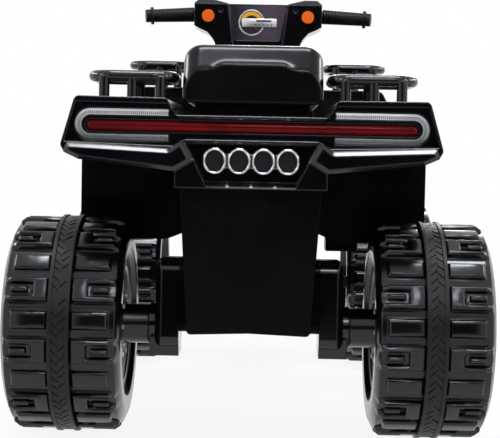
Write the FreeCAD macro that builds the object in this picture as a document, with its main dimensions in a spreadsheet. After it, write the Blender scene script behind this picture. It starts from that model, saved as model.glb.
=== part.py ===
import FreeCAD, Part
import math
import os

import Sketcher
from FreeCAD import Vector

# A child's electric quad bike. +Z is up, +Y is forward, +X is to the rider's right, and the origin
# lies on the ground under the middle of the machine. All lengths are millimetres, angles degrees.

SIZES = {
    # Whole machine
    "overall_length": 1020,
    "wheelbase": 640,
    "track_width": 490,
    "fit_gap": 0.3,
    "running_gap": 0.6,
    "axle_clearance": 0.1,
    "cut_overrun": 3,
    # Wheels and their rubber traction bands
    "wheel_diameter": 300,
    "wheel_width": 156,
    "tread_width": 144,
    "tread_depth": 9,
    "wheel_wall": 5,
    "shoulder_drop": 13,
    "rim_diameter": 204,
    "rim_draft": 4,
    "dish_depth": 34,
    "inner_dish_depth": 7,
    "hub_diameter": 54,
    "hub_rise": 8,
    "lug_length": 34,
    "lug_slot_length": 36,
    "lug_prong": 8,
    "lug_bar_width": 8,
    "lug_bar_inset": 6,
    "cross_lug_length": 24,
    "cross_lug_tip": 21,
    "cross_lug_round": 4,
    "cross_lug_inset": 8,
    "band_width": 28,
    "band_rise": 3,
    "band_rib_width": 5,
    "band_rib_height": 1.5,
    # Wheel covers
    "cover_thickness": 3,
    "cover_rise": 27,
    "cover_centre_diameter": 66,
    "cover_window_depth": 26,
    # Axles and nuts
    "axle_diameter": 12,
    "axle_end": 15,
    "nut_diameter": 22,
    "nut_height": 10,
    # Gearboxes and motors
    "gearbox_face": 96,
    "gearbox_thickness": 33,
    "gearbox_barrel_length": 42,
    "gearbox_barrel_diameter": 58,
    "gearbox_width": 76,
    "gearbox_top_width": 60,
    "gearbox_rise": 94,
    "gearbox_round": 10,
    "gearbox_foot_width": 60,
    "gearbox_foot_drop": 40,
    "motor_rise": 66,
    "motor_diameter": 38,
    "motor_length": 58,
    # Chassis tub and front frame
    "tub_bottom": 151,
    "tub_top": 344,
    "tub_top_width": 186,
    "tub_bottom_width": 162,
    "tub_wall": 4,
    "tub_corner": 6,
    "tub_arch": 3,
    "tub_rear_reach": 110,
    "tub_front_reach": 90,
    "frame_width": 140,
    "frame_bottom": 180,
    "frame_reach": 140,
    "axle_plate_depth": 24,
    # Rear fender moulding
    "tail_reach": 130,
    "fender_front_reach": 175,
    "fender_wall": 4,
    "tail_wall": 22,
    "fender_top": 461,
    "fender_inner_top": 460,
    "seat_base_top": 438,
    "seat_base_width": 198,
    "seat_base_wall": 8,
    "shelf_width": 220,
    "fender_top_width": 458,
    "fender_width": 495,
    "fender_waist": 397,
    "fender_outer_bottom": 379,
    "fender_inner_bottom": 366,
    "fender_foot_width": 444,
    "fender_heel_rise": 9,
    "fender_heel_width": 484,
    "fender_round": 8,
    "lip_depth": 12,
    "lip_inner_width": 212,
    "lip_top": 400,
    "lip_fall": 6,
    "lip_hook_width": 180,
    "lip_hook_rise": 12,
    "lip_toe_width": 151,
    "lip_toe_drop": 14,
    "lip_chamfer": 5,
    "lip_round": 9,
    "light_recess_depth": 12,
    "light_rim": 4,
    "light_brow": 8,
    "light_floor": 407,
    "exhaust_recess_depth": 14,
    "exhaust_recess_top_width": 172,
    "exhaust_recess_bottom_width": 120,
    "exhaust_recess_bottom": 352,
    "exhaust_sill": 6,
    "pedestal_width": 152,
    "pedestal_top": 455,
    "battery_opening_width": 112,
    "battery_opening_length": 180,
    # Rear lights and mock exhausts
    "bezel_thickness": 6,
    "lamp_pocket": 3,
    "lamp_proud": 2,
    "red_bar_length": 430,
    "red_bar_height": 14,
    "light_centre": 423.4,
    "guide_centre": 424.5,
    "guide_height": 41,
    "guide_thickness": 8,
    "guide_inner_width": 216,
    "guide_outer_width": 458,
    "exhaust_pitch": 31.5,
    "exhaust_width": 29,
    "exhaust_tall": 33,
    "exhaust_height": 380,
    "exhaust_wall": 2,
    "exhaust_length": 16,
    "exhaust_link_height": 18,
    "exhaust_link_depth": 8,
    "exhaust_mesh_depth": 3,
    # Luggage racks
    "rack_tube": 15,
    "rack_post_width": 14,
    "rack_corner": 26,
    "rear_rack_top": 496,
    "rear_rack_inner": 98,
    "rear_rack_outer": 218,
    "rear_rack_length": 112,
    "rear_rack_setback": 24,
    "front_rack_top": 546,
    "front_rack_inner": 116,
    "front_rack_outer": 226,
    "front_rack_length": 120,
    # Seat
    "seat_width": 186,
    "seat_top": 538,
    "seat_dip": 500,
    "seat_round": 24,
    "seat_rear_reach": 96,
    "seat_length": 378,
    "seat_shell": 14,
    "seat_ledge": 500,
    "seat_ledge_depth": 7,
    "seat_ledge_rise": 8,
    "seat_ledge_width": 112,
    "seat_slope_depth": 22,
    "seat_slope_drop": 10,
    "seat_foot_round": 9,
    "seat_nose_radius": 15,
    "seat_nose_width": 168,
    "seat_hinge_rise": 17,
    "hinge_pin_diameter": 8,
    "hinge_ear": 8,
    # Footwells and accelerator pedal
    "footwell_width": 261,
    "footwell_top": 262,
    "footwell_thickness": 6,
    "footwell_length": 240,
    "footwell_lip": 14,
    "footwell_rib": 4,
    "footwell_flank": 130,
    "footwell_flank_rise": 18,
    "footwell_round": 40,
    "footwell_corner": 10,
    "riser_thickness": 5,
    "pedal_width": 52,
    "pedal_length": 70,
    "pedal_thickness": 6,
    "pedal_offset": 170,
    "pedal_slope": 14,
    "pedal_barrel": 12,
    "pedal_pin_diameter": 6,
    "pedal_ear": 6,
    "pedal_box_width": 52,
    "pedal_box_height": 26,
    "pedal_box_length": 60,
    # Tank cover and switches
    "tank_width": 176,
    "tank_length": 259,
    "tank_front_reach": 80,
    "tank_top": 528,
    "tank_wall": 4,
    "tank_round": 26,
    "switch_length": 21,
    "switch_width": 13,
    "switch_rise": 5,
    "switch_offset": 46,
    "switch_setback": 92,
    "switch_block": 16,
    "switch_pivot_diameter": 4,
    # Front fender, lamps and bumper
    "front_wing_reach": 155,
    "front_wing_top": 500,
    "front_wing_width": 480,
    "front_wing_top_width": 436,
    "front_wing_waist": 455,
    "front_wing_bottom": 438,
    "front_wing_round": 16,
    "nose_reach": 160,
    "nose_width": 216,
    "nose_bottom": 262,
    "nose_brow": 400,
    "nose_wall": 18,
    "headlight_width": 70,
    "headlight_height": 44,
    "headlight_offset": 62,
    "headlight_centre": 352,
    "headlight_depth": 12,
    "lens_thickness": 5,
    "bumper_tube": 20,
    "bumper_width": 250,
    "bumper_height": 110,
    "bumper_bottom": 212,
    "bumper_corner": 36,
    "bumper_stay_offset": 50,
    # Front axle and steering
    "beam_depth": 36,
    "beam_half_width": 112,
    "beam_bottom": 120,
    "beam_web": 10,
    "beam_rib_offset": 67,
    "beam_rib": 4,
    "fork_plate": 8,
    "king_pin_offset": 105,
    "king_pin_diameter": 12,
    "king_pin_head": 20,
    "knuckle_diameter": 30,
    "stub_shoulder_diameter": 22,
    "steering_arm": 40,
    "arm_thickness": 8,
    "arm_pin_diameter": 8,
    "tie_rod_thickness": 6,
    "tie_rod_width": 20,
    "tie_rod_level": 149,
    "steering_rake": 18,
    "column_length": 471,
    "column_diameter": 16,
    "column_foot": 12,
    "bush_wall": 4,
    "bush_height": 20,
    "steering_socket_height": 30,
    "steering_socket_width": 48,
    "crank_level": 48,
    "crank_thickness": 8,
    "crank_width": 18,
    "crank_pin_diameter": 10,
    "crank_pin_foot": 24,
    "crank_slot_play": 3,
    # Handlebar and its cowl
    "bar_diameter": 19,
    "bar_half_length": 188,
    "bar_bend": 96,
    "bar_sweep": 20,
    "bar_bend_radius": 60,
    "grip_length": 84,
    "grip_diameter": 25,
    "grip_end_diameter": 22,
    "grip_flange_diameter": 30,
    "grip_flange_thickness": 4,
    "grip_cap": 9,
    "cowl_half_width": 109,
    "cowl_neck_half_width": 72,
    "cowl_top": 22.5,
    "cowl_middle_top": 15,
    "cowl_bottom": 61,
    "cowl_rear_depth": 38,
    "cowl_front_depth": 32,
    "cowl_wall": 3,
    "cowl_face": 6,
    "pod_depth": 12,
    "pod_facet": 9,
    "pod_flat": 22,
    "pod_hole_diameter": 6,
    "pod_hole_depth": 4,
    "pod_hole_offset": 64,
    "pod_hole_rise": 3.5,
    "cover_facet": 5,
    "dash_top_half_width": 48,
    "dash_bottom_half_width": 38,
    "dash_top": 13.5,
    "dash_bottom": 46,
    "dash_thickness": 2.5,
    "button_diameter": 21,
    "button_offset": 85,
    "button_drop": 7,
    "button_proud": 5,
    "button_flange": 3,
    "button_stem": 8,
    # Battery and control box
    "battery_length": 151,
    "battery_width": 65,
    "battery_height": 94,
    "battery_reach": 60,
    "terminal_width": 12,
    "terminal_height": 6,
    "battery_tray_wall": 3,
    "battery_tray_height": 24,
    "control_length": 80,
    "control_width": 60,
    "control_height": 28,
    "control_gap": 40,
}

COUNTS = {"lug_count": 11, "cover_window_count": 6, "exhaust_count": 4, "floor_rib_count": 5}


class Size:
    """A number that carries the sheet expression that makes it, so that features can be bound to it."""

    def __init__(self, value, text):
        self.value = float(value)
        self.text = text

    def __float__(self):
        return self.value

    def __add__(self, other):
        other = sized(other)
        return Size(self.value + other.value, f"({self.text} + {other.text})")

    def __sub__(self, other):
        other = sized(other)
        return Size(self.value - other.value, f"({self.text} - {other.text})")

    def __mul__(self, other):
        other = sized(other)
        return Size(self.value * other.value, f"({self.text} * {other.text})")

    def __truediv__(self, other):
        other = sized(other)
        return Size(self.value / other.value, f"({self.text} / {other.text})")

    def __neg__(self):
        return Size(-self.value, f"(0 - {self.text})")

    def __radd__(self, other):
        return sized(other) + self

    def __rsub__(self, other):
        return sized(other) - self

    def __rmul__(self, other):
        return sized(other) * self

    def __rtruediv__(self, other):
        return sized(other) / self


def sized(number):
    """A plain number or a Size, as a Size."""
    return number if isinstance(number, Size) else Size(number, f"{float(number):.9g}")


def sine(angle):
    return Size(math.sin(math.radians(angle.value)), f"sin({angle.text})")


def cosine(angle):
    return Size(math.cos(math.radians(angle.value)), f"cos({angle.text})")


class Sheet:
    """The driving dimensions, one attribute each, backed by the document's spreadsheet."""


doc = FreeCAD.newDocument("kids_quad_bike")
cells = doc.addObject("Spreadsheet::Sheet", "Sizes")
S = Sheet()
for row, (alias, number) in enumerate({**SIZES, **COUNTS}.items(), start=1):
    cells.set(f"A{row}", alias)
    cells.set(f"B{row}", str(number))
    cells.setAlias(f"B{row}", alias)
    setattr(S, alias, Size(number, f"Sizes.{alias}"))
doc.recompute()

PLANE_NORMAL = {"XY": 1, "XZ": -1, "YZ": 1}
SUBPARTS = []


# Drawing helpers


def bind(thing, name, size):
    """Binds one property of a document object to the sheet."""
    thing.setExpression(name, sized(size).text)


def new_body(label):
    body = doc.addObject("PartDesign::Body", label)
    body.Label = label
    return body


def keep(thing, label):
    """Marks a document object as a finished sub-part, under the name that it is exported by."""
    thing.Label = label
    SUBPARTS.append(thing)
    return thing


def pin_point(sketch, geometry, point, x, y):
    """Fixes a point of the sketch at (x, y), each bound to the sheet."""
    for kind, axis, size in (("DistanceX", -2, sized(x)), ("DistanceY", -1, sized(y))):
        if size.value == 0:
            sketch.addConstraint(Sketcher.Constraint("PointOnObject", geometry, point, axis))
        else:
            index = sketch.addConstraint(Sketcher.Constraint(kind, -1, 1, geometry, point, size.value))
            bind(sketch, f"Constraints[{index}]", size)


def draw_circle(sketch, x, y, radius):
    radius = sized(radius)
    circle = Part.Circle(Vector(float(x), float(y), 0), Vector(0, 0, 1), radius.value)
    geometry = sketch.addGeometry(circle, False)
    pin_point(sketch, geometry, 3, x, y)
    index = sketch.addConstraint(Sketcher.Constraint("Radius", geometry, radius.value))
    bind(sketch, f"Constraints[{index}]", radius)


def corner_tangents(before, corner, after, radius):
    """Where a round of that radius leaves the two sides of a corner, and the middle of its arc."""
    to_before = (before - corner).normalize()
    to_after = (after - corner).normalize()
    half_angle = to_before.getAngle(to_after) / 2
    along = radius / math.tan(half_angle)
    bisector = (to_before + to_after).normalize()
    centre = corner + bisector * (radius / math.sin(half_angle))
    return corner + to_before * along, corner + to_after * along, centre - bisector * radius


def draw_outline(sketch, corners, closed=True):
    """Draws straight sides through corners given as (x, y) or (x, y, radius of the round there)."""
    corners = [tuple(sized(c) for c in corner) for corner in corners]
    count = len(corners)
    spots = [Vector(c[0].value, c[1].value, 0) for c in corners]
    enter, leave, middle = list(spots), list(spots), list(spots)
    for i, corner in enumerate(corners):
        if len(corner) == 3:
            enter[i], leave[i], middle[i] = corner_tangents(
                spots[i - 1], spots[i], spots[(i + 1) % count], corner[2].value
            )
    side_count = count if closed else count - 1
    lines = [
        sketch.addGeometry(Part.LineSegment(leave[i], enter[(i + 1) % count]), False)
        for i in range(side_count)
    ]
    for i, corner in enumerate(corners):
        first, last = not closed and i == 0, not closed and i == count - 1
        if len(corner) == 2:
            if not (first or last):
                sketch.addConstraint(Sketcher.Constraint("Coincident", lines[i - 1], 2, lines[i], 1))
            line, point = (lines[i - 1], 2) if last else (lines[i], 1)
            pin_point(sketch, line, point, corner[0], corner[1])
            continue
        arc = sketch.addGeometry(Part.Arc(enter[i], middle[i], leave[i]), False)
        arc_start = sketch.getPoint(arc, 1)
        enters_first = (arc_start - enter[i]).Length < (arc_start - leave[i]).Length
        start, end = (1, 2) if enters_first else (2, 1)
        sketch.addConstraint(Sketcher.Constraint("Tangent", lines[i - 1], 2, arc, start))
        sketch.addConstraint(Sketcher.Constraint("Tangent", arc, end, lines[i], 1))
        index = sketch.addConstraint(Sketcher.Constraint("Radius", arc, corner[2].value))
        bind(sketch, f"Constraints[{index}]", corner[2])
        point = sketch.addGeometry(Part.Point(spots[i]), True)
        sketch.addConstraint(Sketcher.Constraint("PointOnObject", point, 1, lines[i - 1]))
        sketch.addConstraint(Sketcher.Constraint("PointOnObject", point, 1, lines[i]))
        pin_point(sketch, point, 1, corner[0], corner[1])


def new_sketch(body, name, plane, at=0, origin=None, tilt=None, axis="1; 0; 0"):
    """A sketch parallel to an origin plane: at is its place along that plane's own world axis.

    With origin and tilt, the sketch is instead set at a point of that plane's frame and turned."""
    sketch = body.newObject("Sketcher::SketchObject", name)
    planes = {feature.Role: feature for feature in body.Origin.OriginFeatures}
    sketch.AttachmentSupport = [(planes[f"{plane}_Plane"], "")]
    sketch.MapMode = "FlatFace"
    if origin is None:
        bind(sketch, "AttachmentOffset.Base.z", sized(at) * PLANE_NORMAL[plane])
    else:
        sketch.setExpression("AttachmentOffset", placement_text(*origin, tilt, axis))
    doc.recompute()
    return sketch


def drawn(body, name, plane, at, shapes):
    """A sketch holding outlines (lists of corners) and circles (x, y, radius tuples)."""
    sketch = new_sketch(body, f"{name}_sketch", plane, at)
    for shape in shapes:
        if isinstance(shape, tuple):
            draw_circle(sketch, *shape)
        else:
            draw_outline(sketch, shape)
    return sketch


def pad(body, name, plane, at, shapes, length, toward=1):
    """Grows outlines from a plane along its world axis, toward its plus or minus end."""
    feature = body.newObject("PartDesign::Pad", name)
    feature.Profile = drawn(body, name, plane, at, shapes)
    feature.Reversed = toward != PLANE_NORMAL[plane]
    bind(feature, "Length", length)
    return feature


def pocket(body, name, plane, at, shapes, depth, toward=1):
    """Cuts outlines away from a plane along its world axis, toward its plus or minus end."""
    feature = body.newObject("PartDesign::Pocket", name)
    feature.Profile = drawn(body, name, plane, at, shapes)
    feature.Reversed = toward == PLANE_NORMAL[plane]
    bind(feature, "Length", depth)
    return feature


def through_pocket(body, name, plane, shapes):
    """Cuts outlines right through the body, both ways from the origin plane."""
    feature = body.newObject("PartDesign::Pocket", name)
    feature.Profile = drawn(body, name, plane, 0, shapes)
    feature.SideType = "Symmetric"
    bind(feature, "Length", S.overall_length)
    return feature


def symmetric_pad(body, name, plane, shapes, length):
    """Grows outlines equally to both sides of an origin plane."""
    feature = body.newObject("PartDesign::Pad", name)
    feature.Profile = drawn(body, name, plane, 0, shapes)
    feature.SideType = "Symmetric"
    bind(feature, "Length", length)
    return feature


def symmetric_pocket(body, name, plane, shapes, length):
    feature = body.newObject("PartDesign::Pocket", name)
    feature.Profile = drawn(body, name, plane, 0, shapes)
    feature.SideType = "Symmetric"
    bind(feature, "Length", length)
    return feature


def revolve(body, name, plane, shapes, axis):
    """Spins outlines a full turn about the sketch's H_Axis or V_Axis."""
    feature = body.newObject("PartDesign::Revolution", name)
    feature.Profile = drawn(body, name, plane, 0, shapes)
    feature.ReferenceAxis = (feature.Profile[0], [axis])
    feature.Angle = 360
    return feature


def polar_pattern(body, name, originals, axis, count):
    feature = body.newObject("PartDesign::PolarPattern", name)
    feature.Originals = originals
    axes = {item.Role: item for item in body.Origin.OriginFeatures}
    feature.Axis = (axes[axis], [""])
    feature.Angle = 360
    bind(feature, "Occurrences", count)
    body.Tip = feature
    return feature


def pipe(body, name, plane, at, route, closed, section_plane, section_at, section):
    """Sweeps a circle (x, y, radius) along a route of straight runs and bends."""
    path = new_sketch(body, f"{name}_path", plane, at)
    draw_outline(path, route, closed)
    ring = drawn(body, f"{name}_section", section_plane, section_at, [section])
    doc.recompute()
    feature = body.newObject("PartDesign::AdditivePipe", name)
    feature.Profile = ring
    feature.Spine = (path, [f"Edge{i + 1}" for i in range(len(path.Shape.Edges))])
    return feature


def round_edges(body, name, radius, chosen):
    """Rounds the edges of the body so far that the test picks out."""
    doc.recompute()
    base = body.Tip
    edges = [f"Edge{i}" for i, edge in enumerate(base.Shape.Edges, start=1) if chosen(edge)]
    feature = body.newObject("PartDesign::Fillet", name)
    feature.Base = (base, edges)
    bind(feature, "Radius", radius)
    return feature


def bevel_edges(body, name, size, chosen):
    """Chamfers the edges of the body so far that the test picks out."""
    doc.recompute()
    base = body.Tip
    edges = [f"Edge{i}" for i, edge in enumerate(base.Shape.Edges, start=1) if chosen(edge)]
    feature = body.newObject("PartDesign::Chamfer", name)
    feature.Base = (base, edges)
    bind(feature, "Size", size)
    return feature


def rectangle(x0, x1, y0, y1, radius=None):
    corners = [(x0, y0), (x1, y0), (x1, y1), (x0, y1)]
    return corners if radius is None else [(*corner, radius) for corner in corners]


def mirrored(corners):
    """The same outline on the other side of the vertical axis, still running the same way round."""
    return [(-corner[0], *corner[1:]) for corner in reversed(corners)]


def both_sides(half):
    """A closed outline from its right half, listed from the bottom up."""
    return half + mirrored(half)


def placement_text(x, y, z, angle, axis="1; 0; 0"):
    """The expression for a place and a turn."""
    base = f"vector({sized(x).text}; {sized(y).text}; {sized(z).text})"
    return f"placement({base}; rotation(vector({axis}); {sized(angle).text}))"


def place(thing, x=0, y=0, z=0, angle=0, axis="1; 0; 0"):
    thing.setExpression("Placement", placement_text(x, y, z, angle, axis))
    return thing


def near(value, size, tolerance=0.01):
    return abs(value - float(size)) < tolerance


# Stations that several pieces share

wheel_radius = S.wheel_diameter / 2
half_track = S.track_width / 2
axle_height = wheel_radius
rear_axle_y = wheel_radius - S.overall_length / 2
front_axle_y = rear_axle_y + S.wheelbase
axle_radius = S.axle_diameter / 2
bore_radius = axle_radius + S.axle_clearance
tail_y = rear_axle_y - S.tail_reach
fender_front_y = rear_axle_y + S.fender_front_reach
tub_rear_y = rear_axle_y - S.tub_rear_reach
tub_front_y = front_axle_y - S.tub_front_reach
frame_front_y = front_axle_y + S.frame_reach
tank_front_y = front_axle_y - S.tank_front_reach
tank_rear_y = tank_front_y - S.tank_length


# Wheels

tread_radius = wheel_radius - S.band_rise - S.tread_depth
rim_radius = S.rim_diameter / 2
hub_radius = S.hub_diameter / 2
wheel_half = S.wheel_width / 2
tread_half = S.tread_width / 2
dish_floor = wheel_half - S.dish_depth
hub_face = dish_floor + S.hub_rise
gearbox_outer = S.gearbox_face + S.gearbox_barrel_length
rear_hub_inner = half_track - gearbox_outer - S.running_gap
front_hub_inner = dish_floor + S.hub_rise


def wheel_section(hub_inner, inner_floor):
    """Half section of the blow-moulded wheel, x along the axle and y out from it."""
    dished_rim = rim_radius - S.rim_draft
    return [
        (-tread_half, tread_radius),
        (-wheel_half, tread_radius - S.shoulder_drop),
        (-wheel_half, rim_radius),
        (-inner_floor, dished_rim),
        (-inner_floor, hub_radius),
        (-hub_inner, hub_radius),
        (-hub_inner, bore_radius),
        (hub_face, bore_radius),
        (hub_face, hub_radius),
        (dish_floor, hub_radius),
        (dish_floor, dished_rim),
        (wheel_half, rim_radius),
        (wheel_half, tread_radius - S.shoulder_drop),
        (tread_half, tread_radius),
    ]


def wheel_hollow(inner_floor):
    """The air space inside the wheel, one wall in from every face."""
    wall = S.wheel_wall

    def half_space(floor):
        return [
            (floor - wall, hub_radius + wall),
            (floor - wall, rim_radius - S.rim_draft + wall),
            (wheel_half - wall, rim_radius + wall),
            (wheel_half - wall, tread_radius - S.shoulder_drop - wall / 2),
            (tread_half - wall / 2, tread_radius - wall),
        ]

    return half_space(dish_floor) + [(-x, y) for x, y in reversed(half_space(inner_floor))]


def clawed_lug():
    """A tread block of two prongs around a slot, from beside the band out to the shoulder."""
    inner = S.band_width / 2 + S.running_gap
    outer = tread_half
    half = S.lug_length / 2
    slot = outer - S.lug_slot_length
    gap = half - S.lug_prong
    return [
        (inner, -half),
        (outer, -half),
        (outer, -gap),
        (slot, -gap),
        (slot, gap),
        (outer, gap),
        (outer, half),
        (inner, half),
    ]


def slot_bar():
    """The small bar that stands in the slot of a clawed lug."""
    inner = tread_half - S.lug_slot_length + S.lug_bar_inset
    outer = tread_half - S.lug_bar_inset
    return rectangle(inner, outer, -S.lug_bar_width / 2, S.lug_bar_width / 2)


def cross_lug():
    """The tapered block that stands between two clawed lugs."""
    inner = S.band_width / 2 + S.running_gap
    outer = tread_half - S.cross_lug_inset
    half = S.cross_lug_length / 2
    tip = S.cross_lug_tip / 2
    corner = S.cross_lug_round
    return [(inner, -half), (outer, -tip, corner), (outer, tip, corner), (inner, half)]


lug_root_share = 0.8
cross_height_share = 0.75


def lug_pad(body, name, outlines, height, turn):
    """Tread blocks on the crown of the wheel, turned about the axle by an angle."""
    root = tread_radius - S.wheel_wall * lug_root_share
    origin = (0, -root * sine(turn), root * cosine(turn))
    sketch = new_sketch(body, f"{name}_sketch", "XY", origin=origin, tilt=turn)
    for outline in outlines:
        draw_outline(sketch, outline)
        draw_outline(sketch, mirrored(outline))
    feature = body.newObject("PartDesign::Pad", name)
    feature.Profile = sketch
    bind(feature, "Length", height + S.wheel_wall * lug_root_share)
    return feature


def make_wheel(label, side, y, hub_inner, inner_floor):
    body = new_body(label)
    outlines = [wheel_section(hub_inner, inner_floor), wheel_hollow(inner_floor)]
    revolve(body, "shell", "XY", outlines, "H_Axis")
    no_turn = sized(0)
    half_pitch = 180 / S.lug_count
    claws = lug_pad(body, "clawed_lugs", [clawed_lug(), slot_bar()], S.tread_depth, no_turn)
    blocks = lug_pad(body, "cross_lugs", [cross_lug()], S.tread_depth * cross_height_share, half_pitch)
    polar_pattern(body, "tread", [claws, blocks], "X_Axis", S.lug_count)
    place(body, side * half_track, y, axle_height, 0 if side > 0 else 180, "0; 0; 1")
    return keep(body, label)


def make_band(label, side, y):
    """The rubber ring that runs round the middle of the tread, with a raised rib along each edge."""
    half = S.band_width / 2
    rib = half - S.band_rib_width
    seat = tread_radius + S.fit_gap
    groove = wheel_radius - S.band_rib_height
    section = [
        (-half, seat),
        (half, seat),
        (half, wheel_radius),
        (rib, wheel_radius),
        (rib, groove),
        (-rib, groove),
        (-rib, wheel_radius),
        (-half, wheel_radius),
    ]
    body = new_body(label)
    revolve(body, "ring", "XY", [section], "H_Axis")
    place(body, side * half_track, y, axle_height)
    return keep(body, label)


cover_edge = rim_radius - S.rim_draft - S.cover_thickness
cover_centre = S.cover_centre_diameter / 2
cover_seat = dish_floor + S.fit_gap


def make_cover(label, side, y):
    """The dished wheel cover: a rim, spokes between windows, and a raised centre over the axle nut."""
    wall = S.cover_thickness
    rise = S.cover_rise
    crown = cover_seat + rise
    section = [
        (cover_seat, cover_edge),
        (cover_seat, cover_edge - wall),
        (crown - wall, cover_centre),
        (crown, cover_centre - wall),
        (crown, 0),
        (crown + wall, 0),
        (crown + wall, cover_centre - wall),
        (crown, cover_centre + wall),
        (cover_seat + wall, cover_edge),
    ]
    body = new_body(label)
    revolve(body, "dish", "XY", [section], "H_Axis")
    inner = cover_centre + wall * 3
    outer = inner + S.cover_window_depth
    share = 0.4
    window = both_sides([(inner * share, inner), (outer * share, outer)])
    cut = pocket(body, "window", "YZ", 0, [window], S.wheel_width, toward=1)
    polar_pattern(body, "windows", [cut], "X_Axis", S.cover_window_count)
    place(body, side * half_track, y, axle_height, 0 if side > 0 else 180, "0; 0; 1")
    return keep(body, label)


for side, side_name in ((-1, "left"), (1, "right")):
    make_wheel(f"rear_{side_name}_wheel", side, rear_axle_y, rear_hub_inner, wheel_half - S.inner_dish_depth)
    make_band(f"rear_{side_name}_traction_band", side, rear_axle_y)
    make_cover(f"rear_{side_name}_wheel_cover", side, rear_axle_y)
    make_wheel(f"front_{side_name}_wheel", side, front_axle_y, front_hub_inner, dish_floor)
    make_band(f"front_{side_name}_traction_band", side, front_axle_y)
    make_cover(f"front_{side_name}_wheel_cover", side, front_axle_y)


# Rear axle, nuts, gearboxes and motors

axle_reach = half_track + hub_face + S.axle_end


def make_rear_axle():
    body = new_body("rear_axle")
    symmetric_pad(body, "rod", "YZ", [(rear_axle_y, axle_height, axle_radius)], axle_reach * 2)
    return keep(body, "rear_axle")


def make_axle_nuts(label, places):
    """Hexagon nuts with a plain bore, one solid for each place along X."""
    solids = []
    radius = float(S.nut_diameter) / 2
    corners = [
        Vector(0, radius * math.cos(math.pi / 3 * i), radius * math.sin(math.pi / 3 * i)) for i in range(7)
    ]
    height = float(S.nut_height)
    for side, y in places:
        prism = Part.Face(Part.makePolygon(corners)).extrude(Vector(side * height, 0, 0))
        bore = Part.makeCylinder(float(bore_radius), height, Vector(0, 0, 0), Vector(side, 0, 0))
        nut = prism.cut(bore)
        start = side * float(half_track + hub_face + S.fit_gap)
        nut.translate(Vector(start, float(y), float(axle_height)))
        solids.append(nut)
    feature = doc.addObject("Part::Feature", label)
    feature.Shape = Part.makeCompound(solids)
    return keep(feature, label)


motor_height = axle_height + S.motor_rise
motor_radius = S.motor_diameter / 2
barrel_radius = S.gearbox_barrel_diameter / 2
gearbox_top = axle_height + S.gearbox_rise


def gearbox_outline(bottom, foot_round=None):
    """Side outline shared by a gearbox and its mounting plate: upright, drawn in towards a round top."""
    half = S.gearbox_width / 2
    crown = S.gearbox_top_width / 2
    crown_round = crown - S.gearbox_round
    foot = [(rear_axle_y - half, bottom), (rear_axle_y + half, bottom)]
    if foot_round is not None:
        foot = [(*corner, foot_round) for corner in foot]
    return foot + [
        (rear_axle_y + crown, gearbox_top, crown_round),
        (rear_axle_y - crown, gearbox_top, crown_round),
    ]


def make_gearbox(label, side):
    body = new_body(label)
    face = side * S.gearbox_face
    outer = S.gearbox_face + S.gearbox_thickness
    case = gearbox_outline(axle_height - barrel_radius, barrel_radius / 2)
    pad(body, "case", "YZ", face, [case], S.gearbox_thickness, toward=side)
    round_edges(
        body,
        "case_round",
        S.gearbox_round,
        lambda edge: near(abs(edge.BoundBox.XMin), outer) and near(abs(edge.BoundBox.XMax), outer),
    )
    barrel = (rear_axle_y, axle_height, barrel_radius)
    pad(body, "barrel", "YZ", face, [barrel], S.gearbox_barrel_length, toward=side)
    foot = rectangle(
        rear_axle_y - S.gearbox_foot_width / 2,
        rear_axle_y + S.gearbox_foot_width / 2,
        axle_height - S.gearbox_foot_drop,
        axle_height - barrel_radius / 2,
    )
    pad(body, "foot", "YZ", face, [foot], S.gearbox_barrel_length - S.gearbox_round / 4, toward=side)
    through_pocket(body, "axle_bore", "YZ", [(rear_axle_y, axle_height, bore_radius)])
    shaft = (rear_axle_y, motor_height, motor_radius / 4 + S.fit_gap)
    pocket(body, "motor_shaft_bore", "YZ", face, [shaft], S.gearbox_thickness / 2, toward=side)
    return keep(body, label)


def make_motor(side):
    """A can motor seated against the gearbox face, with its shaft in the gearbox and a rear bearing boss."""
    body = new_body("motor_left" if side < 0 else "motor_right")
    face = side * S.gearbox_face
    centre = (rear_axle_y, motor_height)
    pad(body, "can", "YZ", face, [(*centre, motor_radius)], S.motor_length, toward=-side)
    inner = side * (S.gearbox_face - S.motor_length)
    pad(body, "rear_boss", "YZ", inner, [(*centre, motor_radius / 3)], S.tub_wall, toward=-side)
    pad(body, "shaft", "YZ", face, [(*centre, motor_radius / 4)], S.gearbox_thickness / 3, toward=side)
    return body


make_rear_axle()
make_axle_nuts("rear_axle_nuts", [(-1, rear_axle_y), (1, rear_axle_y)])
for side, side_name in ((-1, "left"), (1, "right")):
    make_gearbox(f"{side_name}_gearbox", side)
motors = doc.addObject("Part::Compound", "drive_motors")
motors.Links = [make_motor(-1), make_motor(1)]
keep(motors, "drive_motors")


# Steering stations: the column turns about an axis that leans back from the front axle's middle

steering_pivot = (0, front_axle_y, S.frame_bottom)
column_radius = S.column_diameter / 2
bush_radius = column_radius + S.axle_clearance + S.bush_wall


def steered(thing):
    """Sets a body drawn in the column's own frame into the machine."""
    return place(thing, *steering_pivot, S.steering_rake)


# Chassis tub with the front frame

tub_half_top = S.tub_top_width / 2
tub_half_bottom = S.tub_bottom_width / 2
frame_half = S.frame_width / 2
floor_z = S.tub_bottom + S.tub_arch + S.tub_wall


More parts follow.
